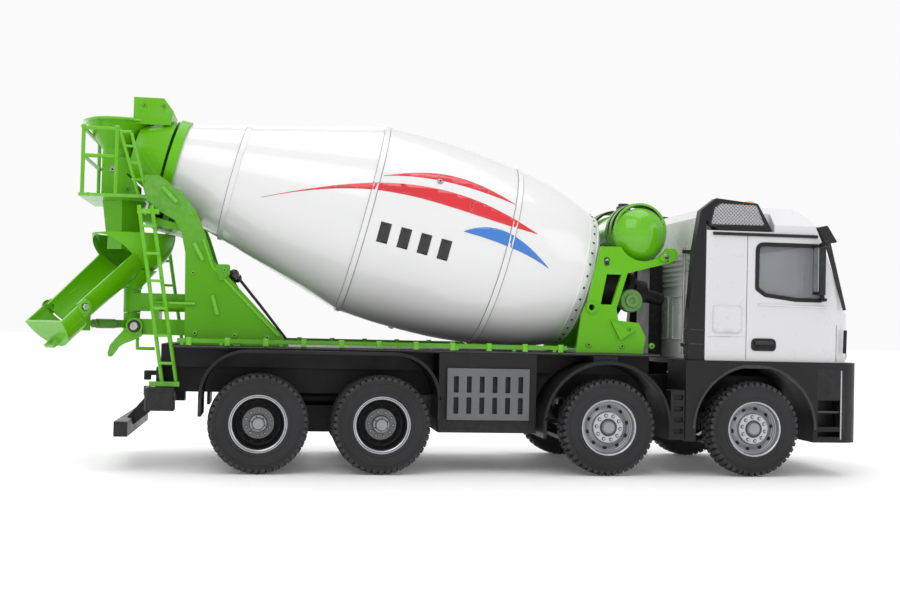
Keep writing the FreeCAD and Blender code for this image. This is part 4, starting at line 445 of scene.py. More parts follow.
def skin(name, body, tree, outline, side, look, lift=0.15, step=2.5, slot=None):
    """A thin raised skin of an (x, z) outline, laid on a surface seen from one side."""
    flat = bmesh.new()
    loop = []
    for i, p in enumerate(outline):
        p, q = Vector(p), Vector(outline[(i + 1) % len(outline)])
        parts = max(1, int((q - p).length / step))
        for k in range(parts):
            spot = p.lerp(q, k / parts)
            loop.append(flat.verts.new((spot.x, spot.y, 0)))
    flat.faces.new(loop)
    bmesh.ops.triangulate(flat, faces=flat.faces[:])
    for axis in (0, 1):
        low = min(v.co[axis] for v in flat.verts)
        high = max(v.co[axis] for v in flat.verts)
        cuts = int((high - low) / step)
        normal = (1 - axis, axis, 0)
        for k in range(1, cuts):
            level = low + (high - low) * k / cuts
            place = (level, 0, 0) if axis == 0 else (0, level, 0)
            everything = flat.verts[:] + flat.edges[:] + flat.faces[:]
            bmesh.ops.bisect_plane(flat, geom=everything, plane_co=place, plane_no=normal)
    bmesh.ops.triangulate(flat, faces=flat.faces[:])
    flat.verts.index_update()
    verts = []
    for v in flat.verts:
        start = Vector((v.co.x, side * 200, v.co.y))
        hit, normal, _, _ = tree.ray_cast(start, Vector((0, -side, 0)))
        if hit is None:
            hit, normal = tree.find_nearest(Vector((v.co.x, side * 60, v.co.y)))[:2]
        if normal.y * side < 0:
            normal = -normal
        verts.append(hit + normal * lift / 2)
    piece = Piece()
    piece.add(verts, [[v.index for v in f.verts] for f in flat.faces], look)
    flat.free()
    obj = piece.make(name, body, 80, slot=slot)
    solid = obj.modifiers.new("skin", "SOLIDIFY")
    solid.thickness = lift * 1.1 * MM
    solid.offset = 0
    return obj


def strip(points, width):
    """The outline of a line drawn with a width, through (x, z) points."""
    left, right = [], []
    for i, p in enumerate(points):
        p = Vector(p)
        before = (p - Vector(points[i - 1])).normalized() if i else None
        after = (Vector(points[i + 1]) - p).normalized() if i + 1 < len(points) else None
        along = ((before or after) + (after or before)).normalized()
        across = Vector((-along.y, along.x)) * width / 2
        left.append(tuple(p + across))
        right.append(tuple(p - across))
    return left + right[::-1]


def ring(piece, outline, width, low, high, look, matrix=None):
    """A flat frame that follows an (x, z) outline, between two levels of Y."""
    n = len(outline)
    centre = Vector((sum(p[0] for p in outline) / n, sum(p[1] for p in outline) / n))
    inner = []
    for i, p in enumerate(outline):
        d1 = (Vector(p) - Vector(outline[i - 1])).normalized()
        d2 = (Vector(outline[(i + 1) % n]) - Vector(p)).normalized()
        across = Vector((-(d1.y + d2.y), d1.x + d2.x)).normalized()
        if across.dot(centre - Vector(p)) < 0:
            across = -across
        inner.append(tuple(Vector(p) + across * width))

    def between(part):
        return [tuple(Vector(a).lerp(Vector(b), part)) for a, b in zip(outline, inner)]

    edge = (high - low) * 0.25
    verts, faces = [], []
    rows = ((outline, low), (outline, high - edge), (between(0.25), high), (between(0.75), high),
            (inner, high - edge), (inner, low))
    for row, level in rows:
        verts += [(x, level, z) for x, z in row]
    for r in range(len(rows)):
        a, b = r * n, ((r + 1) % len(rows)) * n
        for k in range(n):
            m = (k + 1) % n
            faces.append((a + k, a + m, b + m, b + k))
    piece.add(verts, faces, look, matrix)


def lattice(piece, outline, level, pitch, width, thick, look, angle=45):
    """Fine crossed bars, cut to an (x, z) outline, at one level of Y."""
    n = len(outline)
    for turn_by in (angle, -angle):
        t = math.radians(turn_by)
        along, across = Vector((math.cos(t), math.sin(t))), Vector((-math.sin(t), math.cos(t)))
        reach = [Vector(p).dot(across) for p in outline]
        count = int((max(reach) - min(reach)) / pitch)
        for k in range(1, count + 1):
            offset = min(reach) + k * pitch
            hits = []
            for i in range(n):
                p, q = Vector(outline[i]), Vector(outline[(i + 1) % n])
                a, b = p.dot(across) - offset, q.dot(across) - offset
                if a * b < 0:
                    hits.append(p.lerp(q, a / (a - b)).dot(along))
            if len(hits) == 2 and abs(hits[0] - hits[1]) > pitch / 2:
                a = across * offset + along * min(hits)
                b = across * offset + along * max(hits)
                piece.tube([(a.x, level, a.y), (b.x, level, b.y)], width / 2, look, 6, flat=thick / width)


# ---------------------------------------------------------------- wheels

def tyre_piece(width):
    """A tyre about the Y axis with a blocked tread and notched shoulders."""
    p = Piece()
    h = width / 2
    half = [(h - 1.6, 16.9), (h - 0.5, 17.6), (h - 0.15, 18.6), (h - 0.1, 19.4), (h - 0.35, 19.8),
            (h - 0.1, 20.4), (h, 22.4), (h - 0.1, 24.8), (h - 0.45, 25.2), (h - 0.4, 26.6),
            (h - 0.9, 27.8), (h - 1.6, 28.3), (h - 2.2, 28.5)]
    profile = [(-a, r) for a, r in half] + [(a, r) for a, r in reversed(half)]
    p.lathe(profile, "rubber", None, 120, closed=True)
    pitches = 44
    columns = 4
    pitch_angle = 2 * math.pi / pitches
    band = (width - 8.4) / (columns - 2)
    for k in range(pitches):
        for c in range(columns):
            if c in (0, columns - 1):
                lo, hi = (-h + 0.35, -h + 3.6) if c == 0 else (h - 3.6, h - 0.35)
                span = 0.66
            else:
                lo = -h + 4.3 + band * (c - 1) + 0.2
                hi = lo + band - 0.5
                span = 0.74
            stagger = 0.25 * (c % 2)
            a0 = (k + stagger) * pitch_angle
            a1 = a0 + pitch_angle * span
            corners = []
            for r, inset in ((27.0, 0), (29.6, 0.06), (30.0, 0.3)):
                for y, a in ((lo + inset, a0 + inset * 0.03), (hi - inset, a0 + inset * 0.03),
                             (hi - inset, a1 - inset * 0.03), (lo + inset, a1 - inset * 0.03)):
                    pull = 0.9 if (c in (0, columns - 1) and r > 29 and abs(y) > h - 1.2) else 0
                    corners.append(((r - pull) * math.cos(a), y, (r - pull) * math.sin(a)))
            faces = [(8, 9, 10, 11)]
            for lvl in (0, 4):
                for e in range(4):
                    f = (e + 1) % 4
                    faces.append((lvl + e, lvl + f, lvl + 4 + f, lvl + 4 + e))
            p.add(corners, faces, "rubber")
    return p


def steered_rim():
    """A steered wheel's rim, outer face towards +Y, centred on its tyre."""
    p = Piece()
    p.lathe([(-8, 15.6), (-8, 17.3), (6.6, 17.3), (7.3, 17.6), (8.0, 17.7), (8.5, 17.3), (8.6, 16.8),
             (8.3, 16.4), (7.6, 16.2)], "silver_bright", None, 96)
    p.lathe([(7.6, 16.25), (6.4, 15.8), (5.6, 15.6), (5.3, 14.9), (4.6, 14.7), (4.2, 14.0), (3.4, 13.8),
             (3.1, 13.2), (3.4, 12.6), (4.6, 10.2), (5.4, 9.7)], "silver", None, 96)
    p.lathe([(5.3, 9.9), (6.3, 9.7), (6.7, 9.3), (6.75, 5.6), (6.4, 5.3), (5.6, 5.1), (5.4, 4.9)],
            "silver_bright", None, 80)
    p.lathe([(5.4, 5.0), (5.2, 4.6), (6.6, 4.4), (7.6, 4.1), (8.4, 3.4), (8.75, 2.2), (8.8, 0.001)],
            "silver", None, 48)
    # Painted shade: dark plugs in the ten lug holes.
    for m in circle(10, 0.3, 12.6, 3.5):
        p.lathe([(-0.6, 1.3), (0.2, 1.25), (0.22, 0.001)], "dark", m, 16)
    # Painted shade: a dark ring round the foot of each nut.
    for m in circle(10, 0.8, 7.6, 6.72):
        p.lathe([(0, 1.2), (0.06, 1.15), (0.07, 0.8)], "dark", m, 16)
        p.lathe([(0, 0.75), (0.75, 0.72), (0.95, 0.4), (0.97, 0.001)], "silver_bright", m, 12)
    return p


def dual_rim():
    """A rear pair's rim, outer face towards +Y, centred on the outer tyre."""
    p = Piece()
    p.lathe([(-25.5, 15.5), (-25.5, 17.3), (5.6, 17.3), (6.4, 17.6), (7.0, 17.7), (7.5, 17.3), (7.6, 16.8),
             (7.2, 16.5), (6.6, 16.3), (6.3, 15.6), (5.8, 15.2)], "silver_bright", None, 96)
    p.lathe([(6.3, 15.6), (5.6, 14.9), (1.0, 14.3), (-2.8, 13.4), (-3.4, 12.4), (-2.4, 9.7)],
            "black", None, 96)
    p.lathe([(-2.6, 9.9), (-1.2, 9.7), (-0.8, 9.3), (-0.7, 5.7), (-0.9, 5.4)], "silver_dark", None, 80)
    p.lathe([(-0.9, 5.5), (2.2, 5.2), (3.0, 4.9), (3.2, 4.0), (5.6, 3.7), (6.4, 3.2), (6.6, 2.1), (6.5, 1.9),
             (6.5, 0.001)], "silver", None, 48)
    # Painted shade: dark plugs in the ten holes of the dish.
    for m in circle(10, 0.3, 11.5, -2.9):
        p.lathe([(-0.1, 1.1), (0.1, 1.05), (0.12, 0.001)], "dark", m, 14)
    # Painted shade: a dark ring round the foot of each nut.
    for m in circle(10, 0.8, 7.5, -0.75):
        p.lathe([(0, 1.0), (0.05, 0.98), (0.06, 0.7)], "dark", m, 14)
        p.lathe([(0, 0.65), (0.9, 0.62), (1.0, 0.001)], "silver", m, 12)
    # Painted shade: dark spots in the six hub holes.
    for m in circle(6, 0, 4.3, 3.0):
        p.lathe([(0, 0.4), (0.5, 0.35), (0.52, 0.001)], "dark", m, 8)
    return p


def instance(source, name, centre, side, body, replaces=()):
    """Another object on the same mesh, turned to face its side of the truck."""
    obj = source if source.name == name else linked(name, source.data)
    turn = Matrix.Identity(4) if side > 0 else Matrix.Rotation(math.pi, 4, "Z")
    spin = Matrix.Rotation(rng.uniform(0, 6.28), 4, "Y")
    obj.matrix_world = shift(Vector(centre) * MM) @ turn @ spin
    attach(obj, body)
    if replaces:
        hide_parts(*replaces)


front_tyre_source = tyre_piece(18).make("tyre_front_right_look", None, 30)
rear_tyre_source = tyre_piece(16).make("tyre_third_right_outer", None, 30)
front_rim_source = steered_rim().make("rim_front_right_look", None, 30)
rear_rim_source = dual_rim().make("rim_third_right", None, 30)
for place in ("front_right", "front_left", "second_right", "second_left"):
    low, high = at("tyre_" + place)
    centre = (low + high) / 2
    side = -1 if centre.y < 0 else 1
    instance(front_tyre_source, "tyre_%s_look" % place, centre, side, "wheel_" + place,
             ("tyre_" + place,))
    instance(front_rim_source, "rim_%s_look" % place, centre, side, "wheel_" + place,
             ("rim_" + place,))
for place in ("third", "fourth"):
    low, high = at("tyres_" + place)
    for side, word in SIDES:
        for lane, reach in (("outer", high.y - 8), ("inner", high.y - 26)):
            centre = ((low.x + high.x) / 2, side * reach, (low.z + high.z) / 2)
            stands = ("tyres_" + place,) if (side, lane) == (-1, "outer") else ()
            instance(rear_tyre_source, "tyre_%s_%s_%s" % (place, word, lane), centre, side,
                     "axle_" + place, stands)
        centre = ((low.x + high.x) / 2, side * (high.y - 8), (low.z + high.z) / 2)
        stands = ("rims_" + place,) if side < 0 else ()
        instance(rear_rim_source, "rim_%s_%s" % (place, word), centre, side, "axle_" + place,
                 stands)
    shaft = Piece()
    middle = (low + high) / 2
    shaft_frame = shift((middle.x, 0, middle.z))
    shaft.lathe([(-high.y + 20, 3), (-40, 3), (-39, 5), (-36.5, 5), (-36, 3), (36, 3), (36.5, 5), (39, 5),
                 (40, 3), (high.y - 20, 3)], "steel", shaft_frame, 32)
    shaft.make("axle_shaft_" + place, "axle_" + place, slot="silver_plastic")


# ---------------------------------------------------------------- drum

drum_place, drum_axis = joint("drum_spin")
drum_frame = shift(drum_place) @ along_y(drum_axis)


def drum_trim():
    """Stepped flange and bolts round the closed end of the drum."""
    p = Piece()
    for along, radius in ((97.4, 46.2), (103.6, 43.2)):
        step = moved(along, radius, [(0, -2), (0, 0), (0.4, 0.7), (1.8, 0.5), (2.3, -0.3), (2.3, -2)])
        p.lathe(step, "white", drum_frame, 128, closed=True)
    # Painted shade: a dark band in the gap between the two flanges.
    p.lathe([(100.2, 43.6), (100.2, 45.7), (103.2, 44.3), (103.2, 42.4)], "dark", drum_frame, 96,
            closed=True)
    for k in range(36):
        t = 2 * math.pi * k / 36
        m = drum_frame @ Matrix.Rotation(t, 4, "Y") @ shift((44.6, 101.7, 0))
        p.lathe([(-0.9, 0.001), (-0.9, 0.7), (-0.6, 0.95), (0.6, 0.95), (0.9, 0.7), (0.9, 0.001)],
                "black_gloss", m, 8)
    p.make("drum_end_trim", "drum", slot="white_gloss")


def drum_plugs():
    """Three screwed inspection plugs, spaced round the drum."""
    tree = surface("drum_shell")
    p = Piece()
    for turn_by in (0, 120, 240):
        around = Matrix.Rotation(math.radians(turn_by + 212), 3, "Y")
        ray = drum_frame.to_3x3() @ (around @ Vector((1, 0, 0)))
        start = drum_place + drum_axis * -7 + ray * 120
        hit = tree.ray_cast(start, -ray)[0]
        p.bolt(hit - ray * 0.05, ray, 1.5, "steel", 0.9)
    p.make("drum_plugs", "drum", slot="silver_plastic")


def wave(start, stop, level, rise, fall, thick, lean=1.5, count=28):
    """A tapered, curved stripe as an (x, z) outline."""
    top, low = [], []
    for i in range(count + 1):
        t = i / count
        x = start + (stop - start) * t
        z = level + rise * math.sin(math.pi * t) - fall * t * t
        half = thick / 2 * math.sin(math.pi * t ** lean) + 0.12
        top.append((x, z + half))
        low.append((x, z - half))
    return top + low[::-1]


def drum_graphics():
    tree = surface("drum_shell")
    for side, word in SIDES:
        long, short = wave(-122, 50, 168, 11, 18, 9.5, 2.1), wave(-48, 36, 182.5, 3.5, 14, 4.6, 1.2)
        skin("stripe_red_long_" + word, "drum", tree, long, side, "red", slot="red_plastic")
        skin("stripe_red_short_" + word, "drum", tree, short, side, "red", slot="red_plastic")
        skin("stripe_blue_" + word, "drum", tree, wave(2, 58, 149.5, 1.5, 21, 8.5, 0.9), side, "blue")
        for k in range(4):
            outline = moved(-52 + k * 12.5, 147 - k * 3.1, [(0, -5.2), (6.6, -6.8), (9.4, 5.4), (2.8, 7.0)])
            skin("block_%d_%s" % (k + 1, word), "drum", tree, outline, side, "black_gloss",
                 slot="black_plastic")


def drum_seam_shadows():
    """A fine painted shadow line, in grey, beside each welded band of the drum."""
    tree = surface("drum_shell")
    p = Piece()
    for along in (-131.9, -46.9, -43.1, 43.6, 47.4):
        middle = drum_place + drum_axis * along
        ray = (drum_frame.to_3x3() @ Vector((1, 0, 0))).normalized()
        hit = tree.ray_cast(middle + ray * 120, -ray)[0]
        radius = (hit - middle).length
        line = moved(along, radius, [(-0.2, -0.4), (-0.2, 0.05), (0.2, 0.05), (0.2, -0.4)])
        p.lathe(line, "grey", drum_frame, 160, closed=True)
    p.make("drum_seam_shadow_lines", "drum", slot="white_gloss")


drum_trim()
drum_seam_shadows()
drum_plugs()
drum_graphics()


# ---------------------------------------------------------------- cab

cab_low, cab_high = at("cab_shell")
base_low, base_high = at("cab_base")
duct_low, duct_high = at("air_ducts")
window_rear, window_low = cab_low.x + 34, cab_low.z + 40


def cab_sides():
    tree = surface("cab_shell")
    door = cab_low.x + 27.2
    crease = cab_low.z + 15.2
    for side, word in SIDES:
        lines = {
            "rear": [(door, cab_low.z + 1), (door, cab_high.z - 18.5)],
            "front": [(cab_high.x - 13.5, cab_low.z + 0.5), (cab_high.x - 13.5, cab_low.z + 24)],
            "low": [(cab_low.x + 2, crease), (door - 0.5, crease)],
        }
        for part, line in lines.items():
            skin("door_seam_%s_%s" % (part, word), "chassis", tree, strip(line, 0.45), side,
                 "pale" if part == "low" else "grey", 0.08, 6)
        pad = rounded_box((cab_low.x + 5, door - 3.2), (cab_low.z + 17.5, cab_low.z + 35), 2.5)
        skin("panel_pad_" + word, "chassis", tree, pad, side, "white_cab", 0.5, 4, "white_gloss")
        p = Piece()
        flip = FLIP[side]
        face = cab_high.y
        rim = moved(window_rear, window_low, [(-1.4, 5.5), (5, 1), (26, -1.6), (45.4, -1.6), (44.2, 35.9),
                                              (-1.4, 35.9)])
        rim = rounded(rim, [3, 4, 4, 3, 5, 6])
        ring(p, rim, 2.6, face - 0.5, face + 0.7, "black_soft", flip)
        patch = moved(window_rear, window_low,
                      [(-3, -3), (26, -3), (26, -0.8), (5, 2), (0, 6), (-3, 6)])
        p.prism(patch, face - 0.4, face + 0.12, "white_cab", flip)
        sill = moved(window_rear, window_low, [(1, -4.6), (47, -5.4), (47, -3.8), (1, -3.4)])
        p.prism(sill, face - 0.2, face + 0.8, "white_cab", flip, 0.3)
        hx, hz = door + 3.4, cab_low.z + 6.6
        handle = rounded_box((hx, hx + 16.5), (hz, hz + 8), [3, 3, 3.6, 3.6])
        ring(p, handle, 1.6, face - 0.2, face + 0.9, "black", flip)
        # Painted shade: a dark slab for the hollow inside the handle surround.
        inner = rounded_box((hx + 1, hx + 15.5), (hz + 1, hz + 7), 2.4)
        p.prism(inner, face - 0.2, face + 0.15, "dark", flip)
        grip = rounded_box((hx + 2.4, hx + 14.8), (hz + 3.6, hz + 6.3), 1.2)
        p.prism(grip, face + 0.1, face + 1.3, "black_gloss", flip, 0.3)
        pillar = moved(window_rear, window_low, [(44.6, 38.5), (48.6, 38.7), (60.4, -6), (58.2, -6.4)])
        p.prism(pillar, face - 0.3, face + 0.6, "black", flip, 0.25)
        # Painted shade: a dark slab for the vent slot.
        vent = moved(cab_high.x - 8.6, cab_low.z + 6, [(0, 0), (1.6, 0), (1.9, 15), (0.3, 15)])
        p.prism(rounded(vent, 0.6), face - 1.6, face + 0.12, "dark", flip)
        p.make("cab_side_trim_" + word, "chassis", slot="black_plastic")


def duct_details():
    for side, word in SIDES:
        flip = FLIP[side]
        p = Piece()
        face = duct_high.y
        corners = [(12.5, 2.4), (52.1, 2.8), (45.3, 18.1), (20, 18.5), (15.2, 15)]
        frame_line = rounded(moved(duct_low.x, duct_high.z - 20.5, corners), [1.6, 1.6, 3, 3, 3])
        ring(p, frame_line, 1.5, face - 0.3, face + 0.55, "black", flip)
        middle = Vector((duct_low.x + 30, duct_high.z - 10))
        inside = [tuple(Vector(q).lerp(middle, 0.09)) for q in frame_line]
        p.prism(inside, face - 0.25, face + 0.06, "grey", flip)
        bars = Piece()
        lattice(bars, inside, face + 0.2, 1.6, 0.55, 0.3, "white_cab")
        p.add(bars.verts, bars.faces, "white_cab", flip)
        p.make("duct_mesh_" + word, "chassis", 40, slot="black_plastic")
        rings = Piece()
        for z in (cab_low.z + 9.5, cab_low.z + 18.4):
            outline = rounded_box((duct_low.x - 0.3, duct_low.x + 13.2), (face - 9.5, face + 0.4), 4)
            rings.prism(outline, z, z + 1.1, "black_gloss", flip, 0.25, plane="xy")
        rings.make("duct_bands_" + word, "chassis", slot="black_plastic")


def cab_back():
    p = Piece()
    face = cab_low.x
    for k in range(7):
        z = cab_high.z - 30 - k * 3.4
        p.block((face - 0.7, face + 0.2), (-48, 48), (z, z + 1.5), "pale", 0.25)
    for y in (-30, 4):
        outline = rounded_box((y, y + 26), (cab_low.z + 12, cab_low.z + 42), 3)
        ring(p, outline, 1.2, 0, 0.8, "pale", shift((face + 0.1, 0, 0)) @ QUARTER_LEFT)
    p.make("cab_back_ribs", "chassis", slot="white_gloss")
    rod = Piece()
    for y in (-38, 38):
        x = face - 4.2
        rod.tube([(x, y, base_low.z + 54), (x, y, cab_high.z - 26)], 1.0, "steel", 14)
        for z in (cab_low.z + 8, cab_high.z - 30):
            rod.block((x - 1.4, face + 0.1), (y - 1.5, y + 1.5), (z, z + 2.4), "black", 0.3)
    rod.make("cab_back_rods", "chassis", slot="silver_plastic")


def cab_front():
    """Grille, visor blade and bumper intake on the face of the cab."""
    p = Piece()
    grille_face = shift((cab_high.x, 0, 0)) @ QUARTER_RIGHT
    bumper_face = shift((base_high.x - 0.4, 0, 0)) @ QUARTER_RIGHT
    for k in range(5):
        z = cab_low.z + 3 + k * 4.6
        half = 47 - k * 1.2
        bar = rounded_box((-half, half), (z, z + 2.8), 1.2)
        p.prism(bar, -0.4, 1.5, "black_gloss" if k % 2 else "black", grille_face, 0.4)
    outline = rounded(moved(0, cab_low.z, [(-51, 0.6), (51, 0.6), (47, 27), (-47, 27)]), 4)
    ring(p, outline, 2, -0.3, 1.9, "silver", grille_face)
    cap = moved(cab_high.x, cab_low.z, [(-25.6, 86.8), (-18.6, 88.7), (-11.4, 77.8), (-20.3, 77)])
    for low, high in ((-62, -60), (60, 62)):
        p.prism(rounded(cap, 1), low, high, "black", None, 0.3)
    blade = moved(cab_high.x, cab_low.z,
                  [(-25, 86.9), (-18.9, 88.5), (-11.8, 77.9), (-12.8, 77.6), (-19.6, 87.2)])
    p.prism(blade, -61, 61, "black", None, 0.2)
    intake = rounded(moved(0, base_low.z, [(-34, 6), (34, 6), (37, 20), (-37, 20)]), 4)
    ring(p, intake, 1.4, -0.2, 0.8, "black_gloss", bumper_face)
    for k in range(4):
        z = base_low.z + 8.4 + k * 2.8
        p.prism(rounded_box((-34, 34), (z, z + 1.2), 0.5), -0.3, 0.4, "black", bumper_face, 0.2)
    p.make("cab_front_trim", "chassis", slot="black_plastic")


def base_details():
    """Wheel arch lip, edge strip, filled upper step and treads of the cab base."""
    wheel_low, wheel_high = at("tyre_front_right")
    wheel = (wheel_low + wheel_high) / 2
    front, face, low = base_high.x, base_high.y, base_low.z
    for side, word in SIDES:
        flip = FLIP[side]
        p = Piece()
        x = front - 15.9
        p.block((x, x + 0.9), (face - 0.3, face + 0.35), (low + 2, low + 46),
                "silver_bright", 0.2, flip)
        lip = []
        for radius, start, stop, top in ((39.4, 0, 180, 46.4), (41.2, 180, 0, 48.4)):
            arc = arc_points(wheel.x, wheel.z, radius, start, stop, 40)
            lip += [(px, min(pz, low + top)) for px, pz in arc]
        p.prism(lip, face - 0.4, face + 0.6, "black_gloss", flip, 0.2)
        panel = rounded_box((front - 31.8, x), (low + 26.8, low + 47), 0.8)
        p.prism(panel, face - 1.2, face + 0.1, "black", flip, 0.3)
        step_x = front - 30
        p.block((step_x - 1, step_x + 13.6), (face - 8, face - 0.2), (low + 18.6, low + 20.2),
                "black_gloss", 0.3, flip)
        for k in range(9):
            u = step_x + k * 2.1
            p.block((u, u + 1.2), (face - 8, face - 0.4), (low + 2.9, low + 3.8),
                    "black_gloss", 0.2, flip)
        p.make("cab_base_trim_" + word, "chassis", slot="black_plastic")


def mirror_details():
    low, high = at("mirrors")
    for side, word in SIDES:
        p = Piece()
        outline = rounded_box((side * (high.y - 8.6), side * (high.y - 1.2)), (low.z + 6, low.z + 34), 1.6)
        m = shift((low.x + 0.1, 0, 0)) @ QUARTER_LEFT
        p.prism(outline, 0.0, 0.5, "mirror", m, 0.15)
        p.make("mirror_glass_" + word, "chassis", slot="silver_plastic")


cab_sides()
duct_details()
cab_back()
cab_front()
base_details()
mirror_details()


# ---------------------------------------------------------------- water tank and pedestal

def tank_details():
    low, high = at("water_tank")
    centre = (low + high) / 2
    radius = (high.x - low.x) / 2
    m = shift((centre.x, 0, high.z - radius))
    for k, y in enumerate((-31, -22, 22, 31)):
        p = Piece()
        band = [(-2.2, -1), (-2.2, 0.5), (-1.9, 0.8), (1.9, 0.8), (2.2, 0.5), (2.2, -1)]
        p.lathe(moved(y, radius, band), "green_dull", m, 96, closed=True)
        # Painted shade: thin dark lines along both edges of each strap.
        for edge in (-2.6, 2.3):
            line = moved(y + edge, radius, [(0, -1), (0, 0.35), (0.3, 0.35), (0.3, -1)])
            p.lathe(line, "dark", m, 96, closed=True)
        p.make("tank_strap_%d" % (k + 1), "chassis", slot="green_gloss")
    p = Piece()
    for side in (-1, 1):
        seam = moved(high.y - 9.4, radius, [(0, -1), (0, 0.25), (0.4, 0.4), (0.8, 0.2), (0.8, -1)])
        p.lathe(seam, "green_gloss", m @ FLIP[side], 96, closed=True)
    p.make("tank_seams", "chassis", slot="green_gloss")
    cap = Piece()
    top = shift((centre.x, 0, high.z - 0.4)) @ QUARTER_UP
    cap.lathe([(0, 5), (1.6, 5), (2.0, 4.6), (2.0, 3.9), (3.6, 3.8), (4.0, 3.4), (4.0, 0.001)],
              "black_gloss", top, 40)
    cap.make("tank_filler_cap", "chassis", slot="black_plastic")


def pedestal_details():
    low = at("front_pedestal")[0]
    p = Piece()
    for side in (-1, 1):
        for dx, dz in ((8, 5), (30, 4.5), (50, 5)):
            p.bolt((low.x + dx, side * 47.4, low.z + dz), (0, side, 0), 1.5, "green", 1.0)
        for dx, dz in ((19, 57.5), (58.5, 61)):
            p.bolt((low.x + dx, side * 47.4, low.z + dz), (0, side, 0), 1.3, "black_gloss", 0.7)
    p.make("pedestal_bolts", "chassis", slot="green_plastic")
    pump = Piece()
    x, z = low.x + 38, low.z + 34
    for side in (-1, 1):
        m = shift((x, side * 40, z))
        if side < 0:
            m = m @ Matrix.Rotation(math.pi, 4, "Z")
        pump.lathe([(-6, 7.5), (0, 7.5), (1.0, 7.0), (1.0, 4.6), (2.6, 4.2), (2.6, 2.2), (1.4, 2.0),
                    (1.4, 0.001)], "green_dull", m, 40)
    pump.make("pump_boss", "chassis", slot="green_plastic")


# ---------------------------------------------------------------- rear frame, platform and chute

def frame_details():
    """Ribs, lugs and screws on the frame plates, with their brace rods and a grab tube."""
    low = at("rear_frame")[0]
    foot = low.x + 28.3
    ribs = (((12.5, 95.9), (21.4, 86.8)), ((32.3, 62.4), (38.1, 51.8)), ((44.3, 30.3), (47.7, 18.3)))
    screws = moved(foot, low.z, [(6, 7), (30, 6), (50, 5.2), (4, 44)])
    lug = rounded(moved(low.x, low.z, [(44.4, 49.6), (54.6, 49.8), (54.6, 43.6), (49, 38.4)]), 2)
    edge = strip(moved(foot, low.z, [(9.4, 65), (15.6, 48), (57, 6)]), 1.5)
    face = 43.0
    p = Piece()
    for side in (-1, 1):
        flip = FLIP[side]
        for rib in ribs:
            p.prism(strip(moved(low.x, low.z, rib), 2.2), face - 0.3, face + 1.6, "green", flip, 0.3)
        # Painted shade: the lug takes the darker copy of the green, like the plate it sits on.
        p.prism(lug, face - 1.6, face + 0.9, "green_deep", flip, 0.3)
        p.bolt((low.x + 51.2, side * (face + 0.8), low.z + 46.2), (0, side, 0), 1.3, "green", 0.7)
        for x, z in screws:
            p.bolt((x, side * (face - 0.05), z), (0, side, 0), 1.4, "green", 0.9)
        p.prism(edge, face - 0.3, face + 0.7, "green", flip, 0.25)
    p.make("frame_ribs", "chassis", slot="green_plastic")
    rods = Piece()
    for side in (-1, 1):
        top = (foot + 29.5, side * 37, low.z + 44)
        rods.tube([top, (foot + 46, side * 35, low.z + 24), (foot + 62, side * 34, low.z + 4)],
                  0.9, "black", 12)
        rods.tube([(foot + 26, side * 31, low.z + 42), (foot + 40, side * 30, low.z + 20),
                   (foot + 50, side * 29, low.z + 4)], 0.9, "black", 12)
        m = shift((foot + 28.6, side * 34, low.z + 44))
        rods.lathe([(-4, 0.001), (-4, 2.2), (-3.4, 3.1), (3.4, 3.1), (4, 2.2), (4, 0.001)],
                   "black_gloss", m, 28)
    rods.make("frame_brace_rods", "chassis", slot="black_plastic")
    tube = Piece()
    for side in (-1, 1):
        y, z = side * 43.9, low.z + 25
        tube.tube([(low.x + 10, y, z), (low.x + 10.4, y, z), (low.x + 34, y, z)], 0.85, "green", 14)
    tube.make("frame_grab_tube", "chassis", slot="green_plastic")


def rail_details():
    """Clips along the deck's green edge rails, and the dark edge line under them."""
    deck_low, deck_high = at("deck_body")
    p = Piece()
    start, stop = deck_low.x + 18, at("rear_frame")[1].x - 4
    count = 11
    for side in (-1, 1):
        for k in range(count):
            x = start + (stop - start) * k / (count - 1)
            ya, yb = sorted((side * 55.4, side * 58.6))
            p.block((x - 1.6, x + 1.6), (ya, yb), (deck_high.z - 0.2, deck_high.z + 4.7), "green", 0.4)
    p.make("deck_rail_clips", "chassis", slot="green_plastic")
    lip = Piece()
    for side in (-1, 1):
        lip.block((deck_low.x + 8, deck_high.x), (57.6, 58.5), (deck_high.z - 1.4, deck_high.z - 0.5),
                  "black_gloss", 0.2, FLIP[side])
    lip.make("deck_edge_line", "chassis", slot="black_plastic")


def platform_details():
    low, high = at("service_platform")
    p = Piece()
    for side in (-1, 1):
        for x in (low.x + 2, low.x + 22):
            m = shift((x, side * 34.8, high.z - 1.2)) @ QUARTER_UP
            p.lathe([(-0.3, 1.25), (0.6, 1.7), (1.5, 1.7), (2.2, 1.0), (2.4, 0.001)], "green", m, 20)
        for x in (low.x + 5, low.x + 40):
            p.bolt((x, side * 30, low.z + 5.0), (0, 0, 1), 1.1, "green", 0.7)
    rows = 7
    for k in range(rows):
        y = -28 + 56 * k / (rows - 1)
        if abs(y) > 16:
            p.block((low.x + 3, low.x + 26), (y - 0.6, y + 0.6), (low.z + 4.9, low.z + 5.5), "green", 0.15)
    p.make("platform_trim", "chassis", slot="green_plastic")


